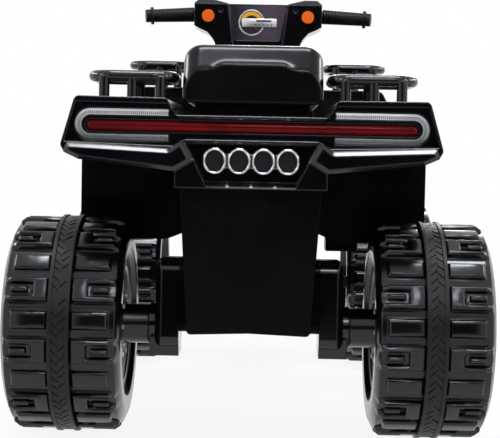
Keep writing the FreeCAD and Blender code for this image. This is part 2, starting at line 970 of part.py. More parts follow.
def make_tub():
    body = new_body("chassis_tub")
    wall = S.tub_wall
    over = S.cut_overrun
    outer = [
        (-tub_half_bottom, S.tub_bottom, S.tub_corner),
        (0, S.tub_bottom + S.tub_arch),
        (tub_half_bottom, S.tub_bottom, S.tub_corner),
        (tub_half_top, S.tub_top),
        (-tub_half_top, S.tub_top),
    ]
    pad(body, "tub", "XZ", tub_rear_y, [outer], tub_front_y - tub_rear_y, toward=1)
    frame = rectangle(-frame_half, frame_half, S.frame_bottom, S.tub_top)
    pad(body, "front_frame", "XZ", tub_front_y, [frame], frame_front_y - tub_front_y, toward=1)
    inner = [
        (-(tub_half_bottom - wall), floor_z, S.tub_corner / 2),
        (tub_half_bottom - wall, floor_z, S.tub_corner / 2),
        (tub_half_top - wall, S.tub_top + over),
        (-(tub_half_top - wall), S.tub_top + over),
    ]
    hollow_length = tub_front_y - tub_rear_y - wall * 2
    pocket(body, "tub_hollow", "XZ", tub_rear_y + wall, [inner], hollow_length, toward=1)
    bay = rectangle(-(frame_half - wall), frame_half - wall, S.frame_bottom + wall, S.tub_top + over)
    bay_length = frame_front_y - tub_front_y - wall
    pocket(body, "frame_bay", "XZ", tub_front_y, [bay], bay_length, toward=1)
    for side, name in ((-1, "left"), (1, "right")):
        start = side * (S.gearbox_face - S.axle_plate_depth)
        plate = gearbox_outline(S.tub_bottom + S.tub_arch)
        pad(body, f"{name}_axle_plate", "YZ", start, [plate], S.axle_plate_depth, toward=side)
    tunnel = (rear_axle_y, axle_height, bore_radius + wall)
    symmetric_pad(body, "axle_tunnel", "YZ", [tunnel], S.gearbox_face * 2)
    through_pocket(body, "axle_bore", "YZ", [(rear_axle_y, axle_height, bore_radius)])
    motor_hole = (rear_axle_y, motor_height, motor_radius + S.fit_gap)
    through_pocket(body, "motor_bores", "YZ", [motor_hole])
    socket_front = front_axle_y + S.steering_socket_width / 2
    socket_rear = front_axle_y - S.steering_socket_width / 2
    half = S.steering_socket_width / 2
    block = rectangle(-half, half, socket_rear, socket_front)
    pad(body, "steering_socket", "XY", S.frame_bottom, [block], S.steering_socket_height + wall, toward=1)
    bore = body.newObject("PartDesign::Pocket", "bush_bore")
    foot = S.column_foot
    rake = S.steering_rake
    bore_origin = (0, front_axle_y - foot * sine(rake), S.frame_bottom + foot * cosine(rake))
    bore.Profile = new_sketch(body, "bush_bore_sketch", "XY", origin=bore_origin, tilt=S.steering_rake)
    draw_circle(bore.Profile[0], 0, 0, bush_radius + S.axle_clearance)
    bore.Reversed = True
    bind(bore, "Length", S.steering_socket_height * 2)
    window_half = S.steering_arm
    window_rear = socket_rear - S.steering_arm
    window = rectangle(-window_half, window_half, window_rear, socket_rear)
    pocket(body, "crank_window", "XY", S.frame_bottom - over, [window], wall + over * 2, toward=1)
    return keep(body, "chassis_tub")


tub = make_tub()


# Steering bushes: a lower one in the tub's socket and an upper one in the tank cover's roof

tank_roof_along = (S.tank_top - S.frame_bottom) / cosine(S.steering_rake)


def make_steering_bushes():
    ring = [(0, 0, bush_radius), (0, 0, column_radius + S.axle_clearance)]
    starts = {"lower": S.column_foot + S.fit_gap, "upper": tank_roof_along - S.bush_height / 2}
    bushes = []
    for name, start in starts.items():
        bush = new_body(f"bush_{name}")
        pad(bush, "ring", "XY", start, ring, S.bush_height, toward=1)
        steered(bush)
        bushes.append(bush)
    group = doc.addObject("Part::Compound", "steering_bushes")
    group.Links = bushes
    return keep(group, "steering_bushes")


make_steering_bushes()


# Rear fender moulding with its seat base, light recess and bumper lips

fender_half = S.fender_width / 2
fender_top_half = S.fender_top_width / 2
fender_foot_half = S.fender_foot_width / 2
lip_half = S.lip_inner_width / 2
seat_base_front_y = tank_rear_y - S.fit_gap
pedestal_half = S.pedestal_width / 2
pedestal_rear_y = tail_y + S.tail_wall * 2
hinge_y = rear_axle_y - S.seat_rear_reach + S.seat_length
hinge_z = S.pedestal_top + S.seat_hinge_rise
pedestal_front_y = hinge_y - S.seat_nose_radius - S.running_gap
ear_inner = S.seat_nose_width / 2 + S.running_gap
shelf_half = S.shelf_width / 2
seat_base_half = S.seat_base_width / 2
heel_half = S.fender_heel_width / 2
heel_z = S.fender_outer_bottom + S.fender_heel_rise


def fender_outline():
    """Tail view of the moulding: flared wings either side of a lower seat base."""
    return both_sides(
        [
            (seat_base_half, S.tub_top),
            (seat_base_half, S.fender_inner_bottom),
            (fender_foot_half, S.fender_outer_bottom),
            (heel_half, heel_z),
            (fender_half, S.fender_waist, S.fender_round),
            (fender_top_half, S.fender_top, S.fender_round),
            (shelf_half, S.fender_inner_top, S.fender_round),
            (seat_base_half, S.seat_base_top),
        ]
    )


wing_waist_share = 1.5
wing_roof_share = 1.3


def fender_wing_hollow():
    """The space under one wing, one wall in from the skin and open below."""
    wall = S.fender_wall
    drop = S.tub_top - S.cut_overrun
    return [
        (seat_base_half + wall, drop),
        (fender_foot_half - wall, drop),
        (fender_foot_half - wall, S.fender_outer_bottom + wall),
        (heel_half - wall, heel_z + wall),
        (fender_half - wall * wing_waist_share, S.fender_waist),
        (fender_top_half - wall, S.fender_top - wall * wing_roof_share),
        (shelf_half, S.fender_inner_top - wall * wing_roof_share),
        (seat_base_half + wall, S.seat_base_top - wall),
    ]


def light_recess(inset):
    """The long light recess across the tail, drawn in by inset on every side."""
    rim = S.light_rim + inset
    brow = S.light_brow + inset
    slope = (fender_half - fender_top_half) / (S.fender_top - S.fender_waist)
    top = S.fender_top - brow
    waist = S.lip_top + inset + S.light_rim / 2
    outer = fender_half - rim - slope * (waist - S.fender_waist)
    return both_sides(
        [
            (S.lip_hook_width / 2 - rim, S.light_floor + inset),
            (lip_half - rim, S.lip_top - S.lip_fall + rim),
            (outer, waist),
            (outer - slope * (top - waist), top, S.fender_round / 2),
            (shelf_half, S.fender_inner_top - brow),
            (seat_base_half - S.light_rim, S.seat_base_top - rim),
        ]
    )


def bumper_lip():
    """One half of the bumper lip under the lights, running down towards the middle."""
    return [
        (seat_base_half, S.fender_inner_bottom),
        (fender_foot_half, S.fender_outer_bottom),
        (heel_half, heel_z),
        (heel_half - S.fender_wall, S.lip_top),
        (lip_half, S.lip_top - S.lip_fall, S.lip_round),
        (S.lip_hook_width / 2, S.lip_top - S.lip_fall + S.lip_hook_rise),
        (S.lip_toe_width / 2, S.fender_inner_bottom + S.lip_toe_drop),
    ]


def make_rear_fender():
    body = new_body("rear_fender")
    wall = S.fender_wall
    over = S.cut_overrun
    pad(body, "wings", "XZ", tail_y, [fender_outline()], fender_front_y - tail_y, toward=1)
    base = rectangle(-seat_base_half, seat_base_half, S.tub_top, S.seat_base_top)
    pad(body, "seat_base", "XZ", fender_front_y, [base], seat_base_front_y - fender_front_y, toward=1)
    stand = rectangle(-pedestal_half, pedestal_half, pedestal_rear_y, pedestal_front_y)
    pad(body, "pedestal", "XY", S.seat_base_top, [stand], S.pedestal_top - S.seat_base_top, toward=1)
    ear_top = hinge_z + S.hinge_pin_diameter
    ear_rear = hinge_y - S.hinge_pin_diameter
    ear_front = hinge_y + S.hinge_pin_diameter
    ear_round = S.hinge_pin_diameter - S.fit_gap
    for side, name in ((-1, "left"), (1, "right")):
        start = side * ear_inner
        ear = [
            (ear_rear, S.seat_base_top - wall),
            (ear_front, S.seat_base_top - wall),
            (ear_front, ear_top, ear_round),
            (ear_rear, ear_top, ear_round),
        ]
        pad(body, f"{name}_hinge_ear", "YZ", start, [ear], S.hinge_ear, toward=side)
    wing_length = fender_front_y - tail_y - S.tail_wall - wall
    hollows = [fender_wing_hollow(), mirrored(fender_wing_hollow())]
    pocket(body, "wing_hollows", "XZ", tail_y + S.tail_wall, hollows, wing_length, toward=1)
    core_half = seat_base_half - S.seat_base_wall
    core = rectangle(-core_half, core_half, S.tub_top - over, S.seat_base_top - wall)
    core_length = seat_base_front_y - tail_y - S.tail_wall - wall
    pocket(body, "seat_base_hollow", "XZ", tail_y + S.tail_wall, [core], core_length, toward=1)
    under = rectangle(
        -(pedestal_half - wall), pedestal_half - wall, pedestal_rear_y + wall, pedestal_front_y - wall
    )
    under_height = S.pedestal_top - S.seat_base_top
    under_floor = S.seat_base_top - wall - over
    pocket(body, "pedestal_hollow", "XY", under_floor, [under], under_height + over, toward=1)
    hatch_half = S.battery_opening_width / 2
    hatch_rear = rear_axle_y + S.battery_reach
    hatch = rectangle(-hatch_half, hatch_half, hatch_rear, hatch_rear + S.battery_opening_length)
    pocket(body, "battery_hatch", "XY", S.pedestal_top - wall - over, [hatch], wall + over * 2, toward=1)
    light_depth = S.light_recess_depth + over
    pocket(body, "light_recess", "XZ", tail_y - over, [light_recess(0)], light_depth, toward=1)
    mouth = both_sides(
        [
            (S.exhaust_recess_bottom_width / 2, S.exhaust_recess_bottom),
            (S.exhaust_recess_top_width / 2, S.light_floor - wall),
        ]
    )
    pocket(body, "exhaust_recess", "XZ", tail_y - over, [mouth], S.exhaust_recess_depth + over, toward=1)
    bevel_edges(
        body,
        "exhaust_sill",
        S.exhaust_sill,
        lambda edge: near(edge.CenterOfMass.y, tail_y) and near(edge.CenterOfMass.z, S.exhaust_recess_bottom),
    )
    pin_hole = (hinge_y, hinge_z, S.hinge_pin_diameter / 2 + S.axle_clearance)
    through_pocket(body, "hinge_bore", "YZ", [pin_hole])
    lips = [bumper_lip(), mirrored(bumper_lip())]
    pad(body, "bumper_lips", "XZ", tail_y, lips, S.lip_depth, toward=-1)
    lip_face = tail_y - S.lip_depth
    bevel_edges(
        body,
        "lip_bevel",
        S.lip_chamfer,
        lambda edge: near(edge.BoundBox.YMin, lip_face) and near(edge.BoundBox.YMax, lip_face),
    )
    return keep(body, "rear_fender")


rear_fender = make_rear_fender()


# Rear lights: a gloss bezel in the recess, a red bar and two clear light guides in its pockets

recess_floor_y = tail_y + S.light_recess_depth
bezel_face_y = recess_floor_y - S.bezel_thickness
lamp_floor_y = bezel_face_y + S.lamp_pocket
lamp_length = S.lamp_pocket + S.lamp_proud


def red_bar(grow):
    half = S.red_bar_length / 2 + grow
    height = S.red_bar_height / 2 + grow
    return rectangle(-half, half, S.light_centre - height, S.light_centre + height, height - S.fit_gap)


def light_guide(grow):
    """A C-shaped light guide around one end of the red bar, open towards the middle."""
    inner = S.guide_inner_width / 2 - grow
    outer = S.guide_outer_width / 2 + grow
    high = S.guide_height / 2 + grow
    slot = S.guide_height / 2 - S.guide_thickness - grow
    slot_end = S.guide_outer_width / 2 - S.guide_thickness - grow
    middle = S.guide_centre
    return [
        (inner, middle - high),
        (outer, middle - high, high - S.fit_gap),
        (outer, middle + high, high - S.fit_gap),
        (inner, middle + high),
        (inner, middle + slot),
        (slot_end, middle + slot, slot - S.fit_gap),
        (slot_end, middle - slot, slot - S.fit_gap),
        (inner, middle - slot),
    ]


def make_rear_lights():
    bezel = new_body("light_bezel")
    pad(bezel, "plate", "XZ", recess_floor_y, [light_recess(S.fit_gap)], S.bezel_thickness, toward=-1)
    depth = S.lamp_pocket + S.cut_overrun
    front = bezel_face_y - S.cut_overrun
    pocket(bezel, "red_bar_pocket", "XZ", front, [red_bar(S.fit_gap)], depth, toward=1)
    guides = [light_guide(S.fit_gap), mirrored(light_guide(S.fit_gap))]
    pocket(bezel, "guide_pockets", "XZ", front, guides, depth, toward=1)
    keep(bezel, "light_bezel")
    bar = new_body("tail_light_bar")
    pad(bar, "lens", "XZ", lamp_floor_y, [red_bar(0)], lamp_length, toward=-1)
    keep(bar, "tail_light_bar")
    guides = []
    for name, outline in (("left", mirrored(light_guide(0))), ("right", light_guide(0))):
        guide = new_body(f"guide_{name}")
        pad(guide, "guide", "XZ", lamp_floor_y, [outline], lamp_length, toward=-1)
        guides.append(guide)
    group = doc.addObject("Part::Compound", "light_guides")
    group.Links = guides
    keep(group, "light_guides")


make_rear_lights()


# Mock exhausts: four chrome rings joined in a row, with a dark mesh disc in each

exhaust_floor_y = tail_y + S.exhaust_recess_depth
exhaust_places = [
    S.exhaust_pitch * (i - (COUNTS["exhaust_count"] - 1) / 2) for i in range(COUNTS["exhaust_count"])
]


def exhaust_ring(x, inset):
    """An upright oval about one exhaust's centre, drawn in by inset."""
    half = S.exhaust_width / 2 - inset
    high = S.exhaust_tall / 2 - inset
    z = S.exhaust_height
    return rectangle(x - half, x + half, z - high, z + high, half - S.fit_gap)


def make_exhausts():
    trim = new_body("exhaust_trim")
    reach = S.exhaust_pitch * (COUNTS["exhaust_count"] - 1) / 2
    link_half = S.exhaust_link_height / 2
    link = rectangle(-reach, reach, S.exhaust_height - link_half, S.exhaust_height + link_half)
    pad(trim, "links", "XZ", exhaust_floor_y, [link], S.exhaust_link_depth, toward=-1)
    rings = [exhaust_ring(x, sized(0)) for x in exhaust_places]
    pad(trim, "rings", "XZ", exhaust_floor_y, rings, S.exhaust_length, toward=-1)
    bores = [exhaust_ring(x, S.exhaust_wall) for x in exhaust_places]
    depth = S.exhaust_length + S.cut_overrun * 2
    pocket(trim, "bores", "XZ", exhaust_floor_y + S.cut_overrun, bores, depth, toward=-1)
    keep(trim, "exhaust_trim")
    meshes = []
    for i, x in enumerate(exhaust_places):
        mesh = new_body(f"mesh_{i}")
        outline = exhaust_ring(x, S.exhaust_wall + S.fit_gap)
        pad(mesh, "plate", "XZ", exhaust_floor_y, [outline], S.exhaust_mesh_depth, toward=-1)
        meshes.append(mesh)
    group = doc.addObject("Part::Compound", "exhaust_meshes")
    group.Links = meshes
    keep(group, "exhaust_meshes")


make_exhausts()


# Luggage racks: a bent tube loop on posts, cut to sit on the wings


def rack_route(inner, outer, rear_y, front_y):
    """The loop of a right-hand rack seen from above, starting in the middle of its rear run."""
    corner = S.rack_corner
    return [
        ((inner + outer) / 2, rear_y),
        (outer, rear_y, corner),
        (outer, front_y, corner),
        (inner, front_y, corner),
        (inner, rear_y, corner),
    ]


post_share = 0.6


def make_rack(label, side, inner, outer, rear_y, length, top, foot, carrier):
    tube = S.rack_tube / 2
    inner, outer = inner + tube, outer - tube
    rear_y = rear_y + tube
    front_y = rear_y + length - S.rack_tube
    level = top - tube
    body = new_body(f"{label}_tubes")
    route = rack_route(inner, outer, rear_y, front_y)
    if side < 0:
        route = [(-spot[0], *spot[1:]) for spot in route]
    middle = side * (inner + outer) / 2
    pipe(body, "loop", "XY", level, route, True, "YZ", middle, (rear_y, level, tube))
    post = S.rack_post_width / 2
    reach = S.rack_corner * post_share
    rear_posts = [inner + reach, (inner + outer) / 2, outer - reach]
    for i, x in enumerate(rear_posts):
        legs = [(side * x, rear_y, post)]
        if i == 1:
            legs.append((side * x, front_y, post))
        pad(body, f"posts_{i}", "XY", foot, legs, level - foot, toward=1)
    cut = doc.addObject("Part::Cut", label)
    cut.Base = body
    cut.Tool = carrier
    return keep(cut, label)


rear_rack_y = tail_y + S.rear_rack_setback
for side, side_name in ((-1, "left"), (1, "right")):
    make_rack(
        f"{side_name}_rear_rack",
        side,
        S.rear_rack_inner,
        S.rear_rack_outer,
        rear_rack_y,
        S.rear_rack_length,
        S.rear_rack_top,
        S.fender_inner_top - S.fender_wall / 2,
        rear_fender,
    )


# Seat: a hard moulded saddle that tips up about a pin at its nose

seat_rear_y = rear_axle_y - S.seat_rear_reach
seat_bottom = S.pedestal_top + S.fit_gap
nose_round = S.seat_nose_radius


saddle_shares = {"dip": 0.52, "crest": 0.26, "dip_round": 0.3, "crest_round": 0.16, "nose_lift": 1.2}


def seat_profile(inset):
    """Side view of the saddle: an upright tail, a slope up to the crest, a dip and a low front."""
    rear = seat_rear_y + inset
    top = S.seat_top - inset
    dip = S.seat_dip - inset
    length = S.seat_length
    front = hinge_y - nose_round
    return [
        (rear, seat_bottom),
        (front, seat_bottom),
        (front, hinge_z + nose_round * saddle_shares["nose_lift"] - inset),
        (rear + length * saddle_shares["dip"], dip, length * saddle_shares["dip_round"]),
        (rear + length * saddle_shares["crest"], top, length * saddle_shares["crest_round"]),
        (rear + S.seat_slope_depth, top - S.seat_slope_drop / 2, S.seat_slope_depth / 2),
        (rear, S.seat_ledge - inset),
    ]


def seat_step():
    """The raised middle of the tail's crease, a low step on the foot of the slope."""
    half = S.seat_ledge_width / 2
    rise = S.seat_ledge_rise
    return both_sides(
        [(half, S.seat_ledge - rise), (half, S.seat_ledge), (half - rise * 2, S.seat_ledge + rise)]
    )


def make_seat():
    body = new_body("seat")
    symmetric_pad(body, "saddle", "YZ", [seat_profile(sized(0))], S.seat_width)
    seat_half = S.seat_width / 2

    def on_side(edge):
        return near(edge.BoundBox.XLength, 0) and near(abs(edge.CenterOfMass.x), seat_half)

    round_edges(
        body,
        "saddle_round",
        S.seat_round,
        lambda edge: on_side(edge)
        and edge.BoundBox.ZMax > float(S.seat_ledge) + 1
        and edge.BoundBox.YLength > 1,
    )
    round_edges(
        body,
        "foot_round",
        S.seat_foot_round,
        lambda edge: on_side(edge) and near(edge.CenterOfMass.z, seat_bottom),
    )
    web_rear = hinge_y - nose_round - S.seat_shell / 2
    web = rectangle(web_rear, hinge_y, hinge_z - nose_round, hinge_z + nose_round)
    symmetric_pad(body, "nose_web", "YZ", [web], S.seat_nose_width)
    symmetric_pad(body, "nose", "YZ", [(hinge_y, hinge_z, nose_round)], S.seat_nose_width)
    inside = (seat_half - S.seat_shell) * 2
    cavity = seat_profile(S.seat_shell)
    cavity[0] = (seat_rear_y + S.seat_shell, seat_bottom - S.cut_overrun)
    cavity[1] = (hinge_y - nose_round - S.seat_shell, seat_bottom - S.cut_overrun)
    cavity[2] = (hinge_y - nose_round - S.seat_shell, cavity[2][1])
    symmetric_pocket(body, "hollow", "YZ", [cavity], inside)
    pad(body, "crease_step", "XZ", seat_rear_y, [seat_step()], S.seat_ledge_depth, toward=1)
    pin_hole = (hinge_y, hinge_z, S.hinge_pin_diameter / 2 + S.axle_clearance)
    through_pocket(body, "hinge_bore", "YZ", [pin_hole])
    return keep(body, "seat")


def make_hinge_pin():
    body = new_body("seat_hinge_pin")
    pin_length = (ear_inner + S.hinge_ear) * 2
    symmetric_pad(body, "rod", "YZ", [(hinge_y, hinge_z, S.hinge_pin_diameter / 2)], pin_length)
    return keep(body, "seat_hinge_pin")


make_seat()
make_hinge_pin()


# Tank cover between the seat and the handlebar, with two switch openings and a charging socket

tank_half = S.tank_width / 2
switch_y = tank_front_y - S.switch_setback
switch_z = S.tank_top - S.switch_rise
switch_half = S.switch_length / 2
switch_side = S.switch_width / 2


tank_shares = {"front_drop": 0.12, "brow": 0.2, "roof": 0.55, "roof_round": 0.3, "rear_drop": 0.45}


def tank_profile(inset, floor):
    """Side view of the cover, from the seat's nose up to a level roof and down to the front fender."""
    low = tank_rear_y + inset
    high = S.tank_top - inset
    front = tank_front_y
    span = S.tank_top - S.tub_top
    return [
        (low, floor),
        (front, floor),
        (front, high - span * tank_shares["front_drop"]),
        (front - span * tank_shares["brow"], high, span * tank_shares["brow"]),
        (low + span * tank_shares["roof"], high, span * tank_shares["roof_round"]),
        (low, high - span * tank_shares["rear_drop"]),
    ]


def make_tank():
    body = new_body("tank_cover")
    wall = S.tank_wall
    symmetric_pad(body, "shell", "YZ", [tank_profile(sized(0), S.tub_top)], S.tank_width)
    round_edges(
        body,
        "shoulder_round",
        S.tank_round,
        lambda edge: near(abs(edge.CenterOfMass.x), tank_half)
        and edge.BoundBox.ZMax > float(S.tank_top - S.tank_round * 2)
        and edge.BoundBox.YLength > 1,
    )
    inside = (tank_half - S.tank_round / 2) * 2
    hollow = tank_profile(wall * 2, S.tub_top - S.cut_overrun)
    hollow[1] = (tank_front_y + S.cut_overrun, hollow[1][1])
    hollow[2] = (tank_front_y + S.cut_overrun, hollow[2][1])
    symmetric_pocket(body, "hollow", "YZ", [hollow], inside)
    return body


tank = make_tank()


def finish_tank(body):
    wall = S.tank_wall
    for side, name in ((-1, "left"), (1, "right")):
        x0 = side * S.switch_offset - switch_side - wall
        x1 = side * S.switch_offset + switch_side + wall
        block = rectangle(x0, x1, switch_y - switch_half - wall * 2, switch_y + switch_half + wall * 2)
        block_height = S.switch_block - wall / 2
        pad(body, f"{name}_switch_block", "XY", S.tank_top - S.switch_block, [block], block_height)
        gap = S.running_gap
        hole = rectangle(
            side * S.switch_offset - switch_side - gap,
            side * S.switch_offset + switch_side + gap,
            switch_y - switch_half - gap * 3,
            switch_y + switch_half + gap * 3,
        )
        depth = S.switch_block + S.cut_overrun * 2
        pocket(body, f"{name}_switch_hole", "XY", S.tank_top + S.cut_overrun, [hole], depth, toward=-1)
    pivot = (switch_y, switch_z, S.switch_pivot_diameter / 2 + S.axle_clearance)
    reach = S.switch_offset + switch_side + wall + S.fit_gap
    symmetric_pocket(body, "switch_pivot_bore", "YZ", [pivot], reach * 2)
    bore = body.newObject("PartDesign::Pocket", "upper_bush_bore")
    bore.Profile = new_sketch(body, "upper_bush_sketch", "XY", origin=steering_pivot, tilt=S.steering_rake)
    draw_circle(bore.Profile[0], 0, 0, bush_radius + S.axle_clearance)
    bore.Reversed = True
    bind(bore, "Length", S.column_length)
    return keep(body, "tank_cover")


finish_tank(tank)


def make_switch(label, side):
    """A rocker with a shallow V top, carried on two stub pivots in the tank cover's block."""
    body = new_body(label)
    top = S.tank_top + S.switch_rise / 2
    bottom = switch_z - S.switch_rise
    rocker = [
        (switch_y - switch_half, bottom),
        (switch_y + switch_half, bottom),
        (switch_y + switch_half, top),
        (switch_y, switch_z + S.switch_rise),
        (switch_y - switch_half, top),
    ]
    start = side * S.switch_offset - switch_side
    pad(body, "rocker", "YZ", start, [rocker], S.switch_width, toward=1)
    stub = (switch_y, switch_z, S.switch_pivot_diameter / 2)
    stub_start = start - S.tank_wall / 2
    pad(body, "pivots", "YZ", stub_start, [stub], S.switch_width + S.tank_wall, toward=1)
    return keep(body, label)


make_switch("power_switch", -1)
make_switch("direction_switch", 1)


# Front fender: two wings and a nose that carries the headlights

nose_half = S.nose_width / 2
nose_front_y = front_axle_y + S.nose_reach
wing_rear_y = front_axle_y - S.front_wing_reach
wing_half = S.front_wing_width / 2
wing_top_half = S.front_wing_top_width / 2
nose_inner_y = nose_front_y - S.nose_wall


wing_tuck_share = 0.03


def front_wing(inset, floor):
    """Front view of the wings, drawn in by inset at the sides and roof, and down to floor."""
    return both_sides(
        [
            (wing_half - S.front_wing_bottom * wing_tuck_share - inset, floor),
            (wing_half - inset, S.front_wing_waist),
            (wing_top_half - inset, S.front_wing_top - inset, S.front_wing_round - inset),
        ]
    )


nose_shares = {"brow_round": 0.1, "bonnet": 0.25, "drop": 0.16, "roof": 0.55, "round": 0.2}


def nose_profile(inset):
    """Side view of the nose, from the tank cover forward over the lamps."""
    front = nose_front_y - inset
    top = S.front_wing_top - inset
    rear = tank_front_y + S.fit_gap
    span = nose_front_y - tank_front_y
    return [
        (rear, S.tub_top),
        (frame_front_y + S.fit_gap, S.tub_top),
        (frame_front_y + S.fit_gap, S.nose_bottom),
        (front, S.nose_bottom),
        (front, S.nose_brow, span * nose_shares["brow_round"]),
        (front - span * nose_shares["bonnet"], top - span * nose_shares["drop"], span * nose_shares["round"]),
        (front - span * nose_shares["roof"], top, span * nose_shares["round"]),
        (rear, top),
    ]


def headlight(side, grow):
    half = S.headlight_width / 2 + grow
    high = S.headlight_height / 2 + grow
    x = side * S.headlight_offset
    z = S.headlight_centre
    corner = S.headlight_height / 4
    return rectangle(x - half, x + half, z - high, z + high, corner)


wing_rake_share = 0.45
wing_ceiling_share = 1.5


def make_front_fender():
    body = new_body("front_fender")
    wall = S.fender_wall
    over = S.cut_overrun
    wing_length = nose_front_y - wing_rear_y - S.nose_wall * 2
    pad(body, "wings", "XZ", wing_rear_y, [front_wing(sized(0), S.front_wing_bottom)], wing_length, toward=1)
    symmetric_pad(body, "nose", "YZ", [nose_profile(sized(0))], S.nose_width)
    wing_front_y = wing_rear_y + wing_length
    rake_rear = wing_front_y - wing_length * wing_rake_share
    rake = [
        (rake_rear, S.front_wing_top + over),
        (rake_rear, S.front_wing_top),
        (wing_front_y, S.front_wing_waist),
        (nose_front_y, S.front_wing_waist),
        (nose_front_y, S.front_wing_top + over),
    ]
    hollow = front_wing(wall, S.front_wing_bottom - over)
    pocket(body, "wing_hollow", "XZ", wing_rear_y + wall, [hollow], rake_rear - wing_rear_y - wall, toward=1)
    low = S.front_wing_bottom - over
    roof = S.front_wing_top - wall * wing_ceiling_share
    slope_hollow = [
        (rake_rear - wall, low),
        (wing_front_y - wall, low),
        (wing_front_y - wall, S.front_wing_waist - wall),
        (rake_rear, roof),
        (rake_rear - wall, roof),
    ]
    for side, name in ((-1, "left"), (1, "right")):
        start = side * nose_half
        pocket(body, f"{name}_wing_rake", "YZ", start, [rake], wing_half, toward=side)
        reach = wing_top_half - wall - nose_half
        pocket(body, f"{name}_slope_hollow", "YZ", start, [slope_hollow], reach, toward=side)
    bay = nose_profile(wall)
    bay[0] = (tank_front_y - over, S.tub_top - over)
    bay[1] = (nose_inner_y, S.tub_top - over)
    bay[2] = (nose_inner_y, S.tub_top)
    bay[3] = (nose_inner_y, S.tub_top + wall)
    bay[4] = (nose_inner_y, S.nose_brow)
    bay[-1] = (tank_front_y - over, bay[-1][1])
    symmetric_pocket(body, "nose_hollow", "YZ", [bay], (nose_half - wall) * 2)
    slot_half = tank_half + S.fit_gap
    slot = rectangle(-slot_half, slot_half, wing_rear_y - over, tank_front_y + S.fit_gap)
    pocket(body, "tank_slot", "XY", S.front_wing_bottom - over, [slot], S.front_wing_top, toward=1)
    lamps = [headlight(-1, S.fit_gap), headlight(1, S.fit_gap)]
    pocket(body, "lamp_recesses", "XZ", nose_front_y + over, lamps, S.headlight_depth + over, toward=-1)
    return keep(body, "front_fender")


front_fender = make_front_fender()


def make_headlights():
    lamp_floor = nose_front_y - S.headlight_depth
    reflector_depth = S.headlight_depth - S.lens_thickness
    for label, start, depth in (
        ("headlight_reflectors", lamp_floor, reflector_depth),
        ("headlight_lenses", lamp_floor + reflector_depth, S.lens_thickness),
    ):
        group = doc.addObject("Part::Compound", label)
        lamps = []
        for side in (-1, 1):
            lamp = new_body(f"{label}_{'left' if side < 0 else 'right'}")
            pad(lamp, "plate", "XZ", start, [headlight(side, sized(0))], depth, toward=1)
            lamps.append(lamp)
        group.Links = lamps
        keep(group, label)


make_headlights()

front_rack_y = wing_rear_y + S.fender_wall * 2
for side, side_name in ((-1, "left"), (1, "right")):
    make_rack(
        f"{side_name}_front_rack",
        side,
        S.front_rack_inner,
        S.front_rack_outer,
        front_rack_y,
        S.front_rack_length,
        S.front_rack_top,
        S.front_wing_top - S.fender_wall,
        front_fender,
    )


# Front bumper: a bent tube loop on two stays from the front frame


stay_share = 0.8


def make_bumper():
    body = new_body("front_bumper_tubes")
    tube = S.bumper_tube / 2
    loop_y = S.overall_length / 2 - tube
    half = S.bumper_width / 2 - tube
    low = S.bumper_bottom + tube
    high = S.bumper_bottom + S.bumper_height - tube
    corner = S.bumper_corner
    route = [
        (0, low),
        (half, low, corner),
        (half, high, corner),
        (-half, high, corner),
        (-half, low, corner),
    ]
    pipe(body, "loop", "XZ", loop_y, route, True, "YZ", 0, (loop_y, low, tube))
    stays = [(side * S.bumper_stay_offset, low, tube * stay_share) for side in (-1, 1)]
    pad(body, "stays", "XZ", frame_front_y, stays, loop_y - frame_front_y, toward=1)
    return keep(body, "front_bumper")


make_bumper()


# Footwells beside the tub, each with a floor, a riser behind the heel and grip ribs


pedal_hinge_y = fender_front_y + S.footwell_length - S.footwell_lip * 3 - S.pedal_length
pedal_hinge_z = S.footwell_top + S.pedal_barrel / 2 + S.running_gap


def tub_side(z):
    """The middle of the tub's side wall at a height, where the footwells are let into it."""
    lean = (tub_half_top - tub_half_bottom) / (S.tub_top - S.tub_bottom)
    return tub_half_bottom - S.tub_wall / 2 + lean * (z - S.tub_bottom)


def footwell_section(low, high, lip):
    """Across one footwell: a flank up to the tub, a level floor and a lip along the outer edge."""
    outer = S.footwell_width
    thick = S.footwell_thickness
    flank_low = low + S.footwell_flank_rise
    return [
        (tub_side(flank_low), flank_low),
        (S.footwell_flank, low, S.footwell_round),
        (outer, low, S.footwell_corner),
        (outer, high + lip),
        (outer - thick, high + lip),
        (outer - thick, high),
        (S.footwell_flank, high, S.footwell_round),
        (tub_side(flank_low + thick), flank_low + thick),
    ]


def riser_outline(low):
    """The panel behind the heel: its lower edge follows the floor, and it stops beside the seat base."""
    outer = S.footwell_width
    beside = seat_base_half + S.fit_gap
    flank_low = low + S.footwell_flank_rise
    flank_top = S.tub_top - S.fit_gap
    return [
        (tub_side(flank_low), flank_low),
        (S.footwell_flank, low, S.footwell_round),
        (outer, low, S.footwell_corner),
        (outer, S.fender_waist),
        (beside, S.fender_waist),
        (beside, flank_top),
        (tub_side(flank_top), flank_top),
    ]


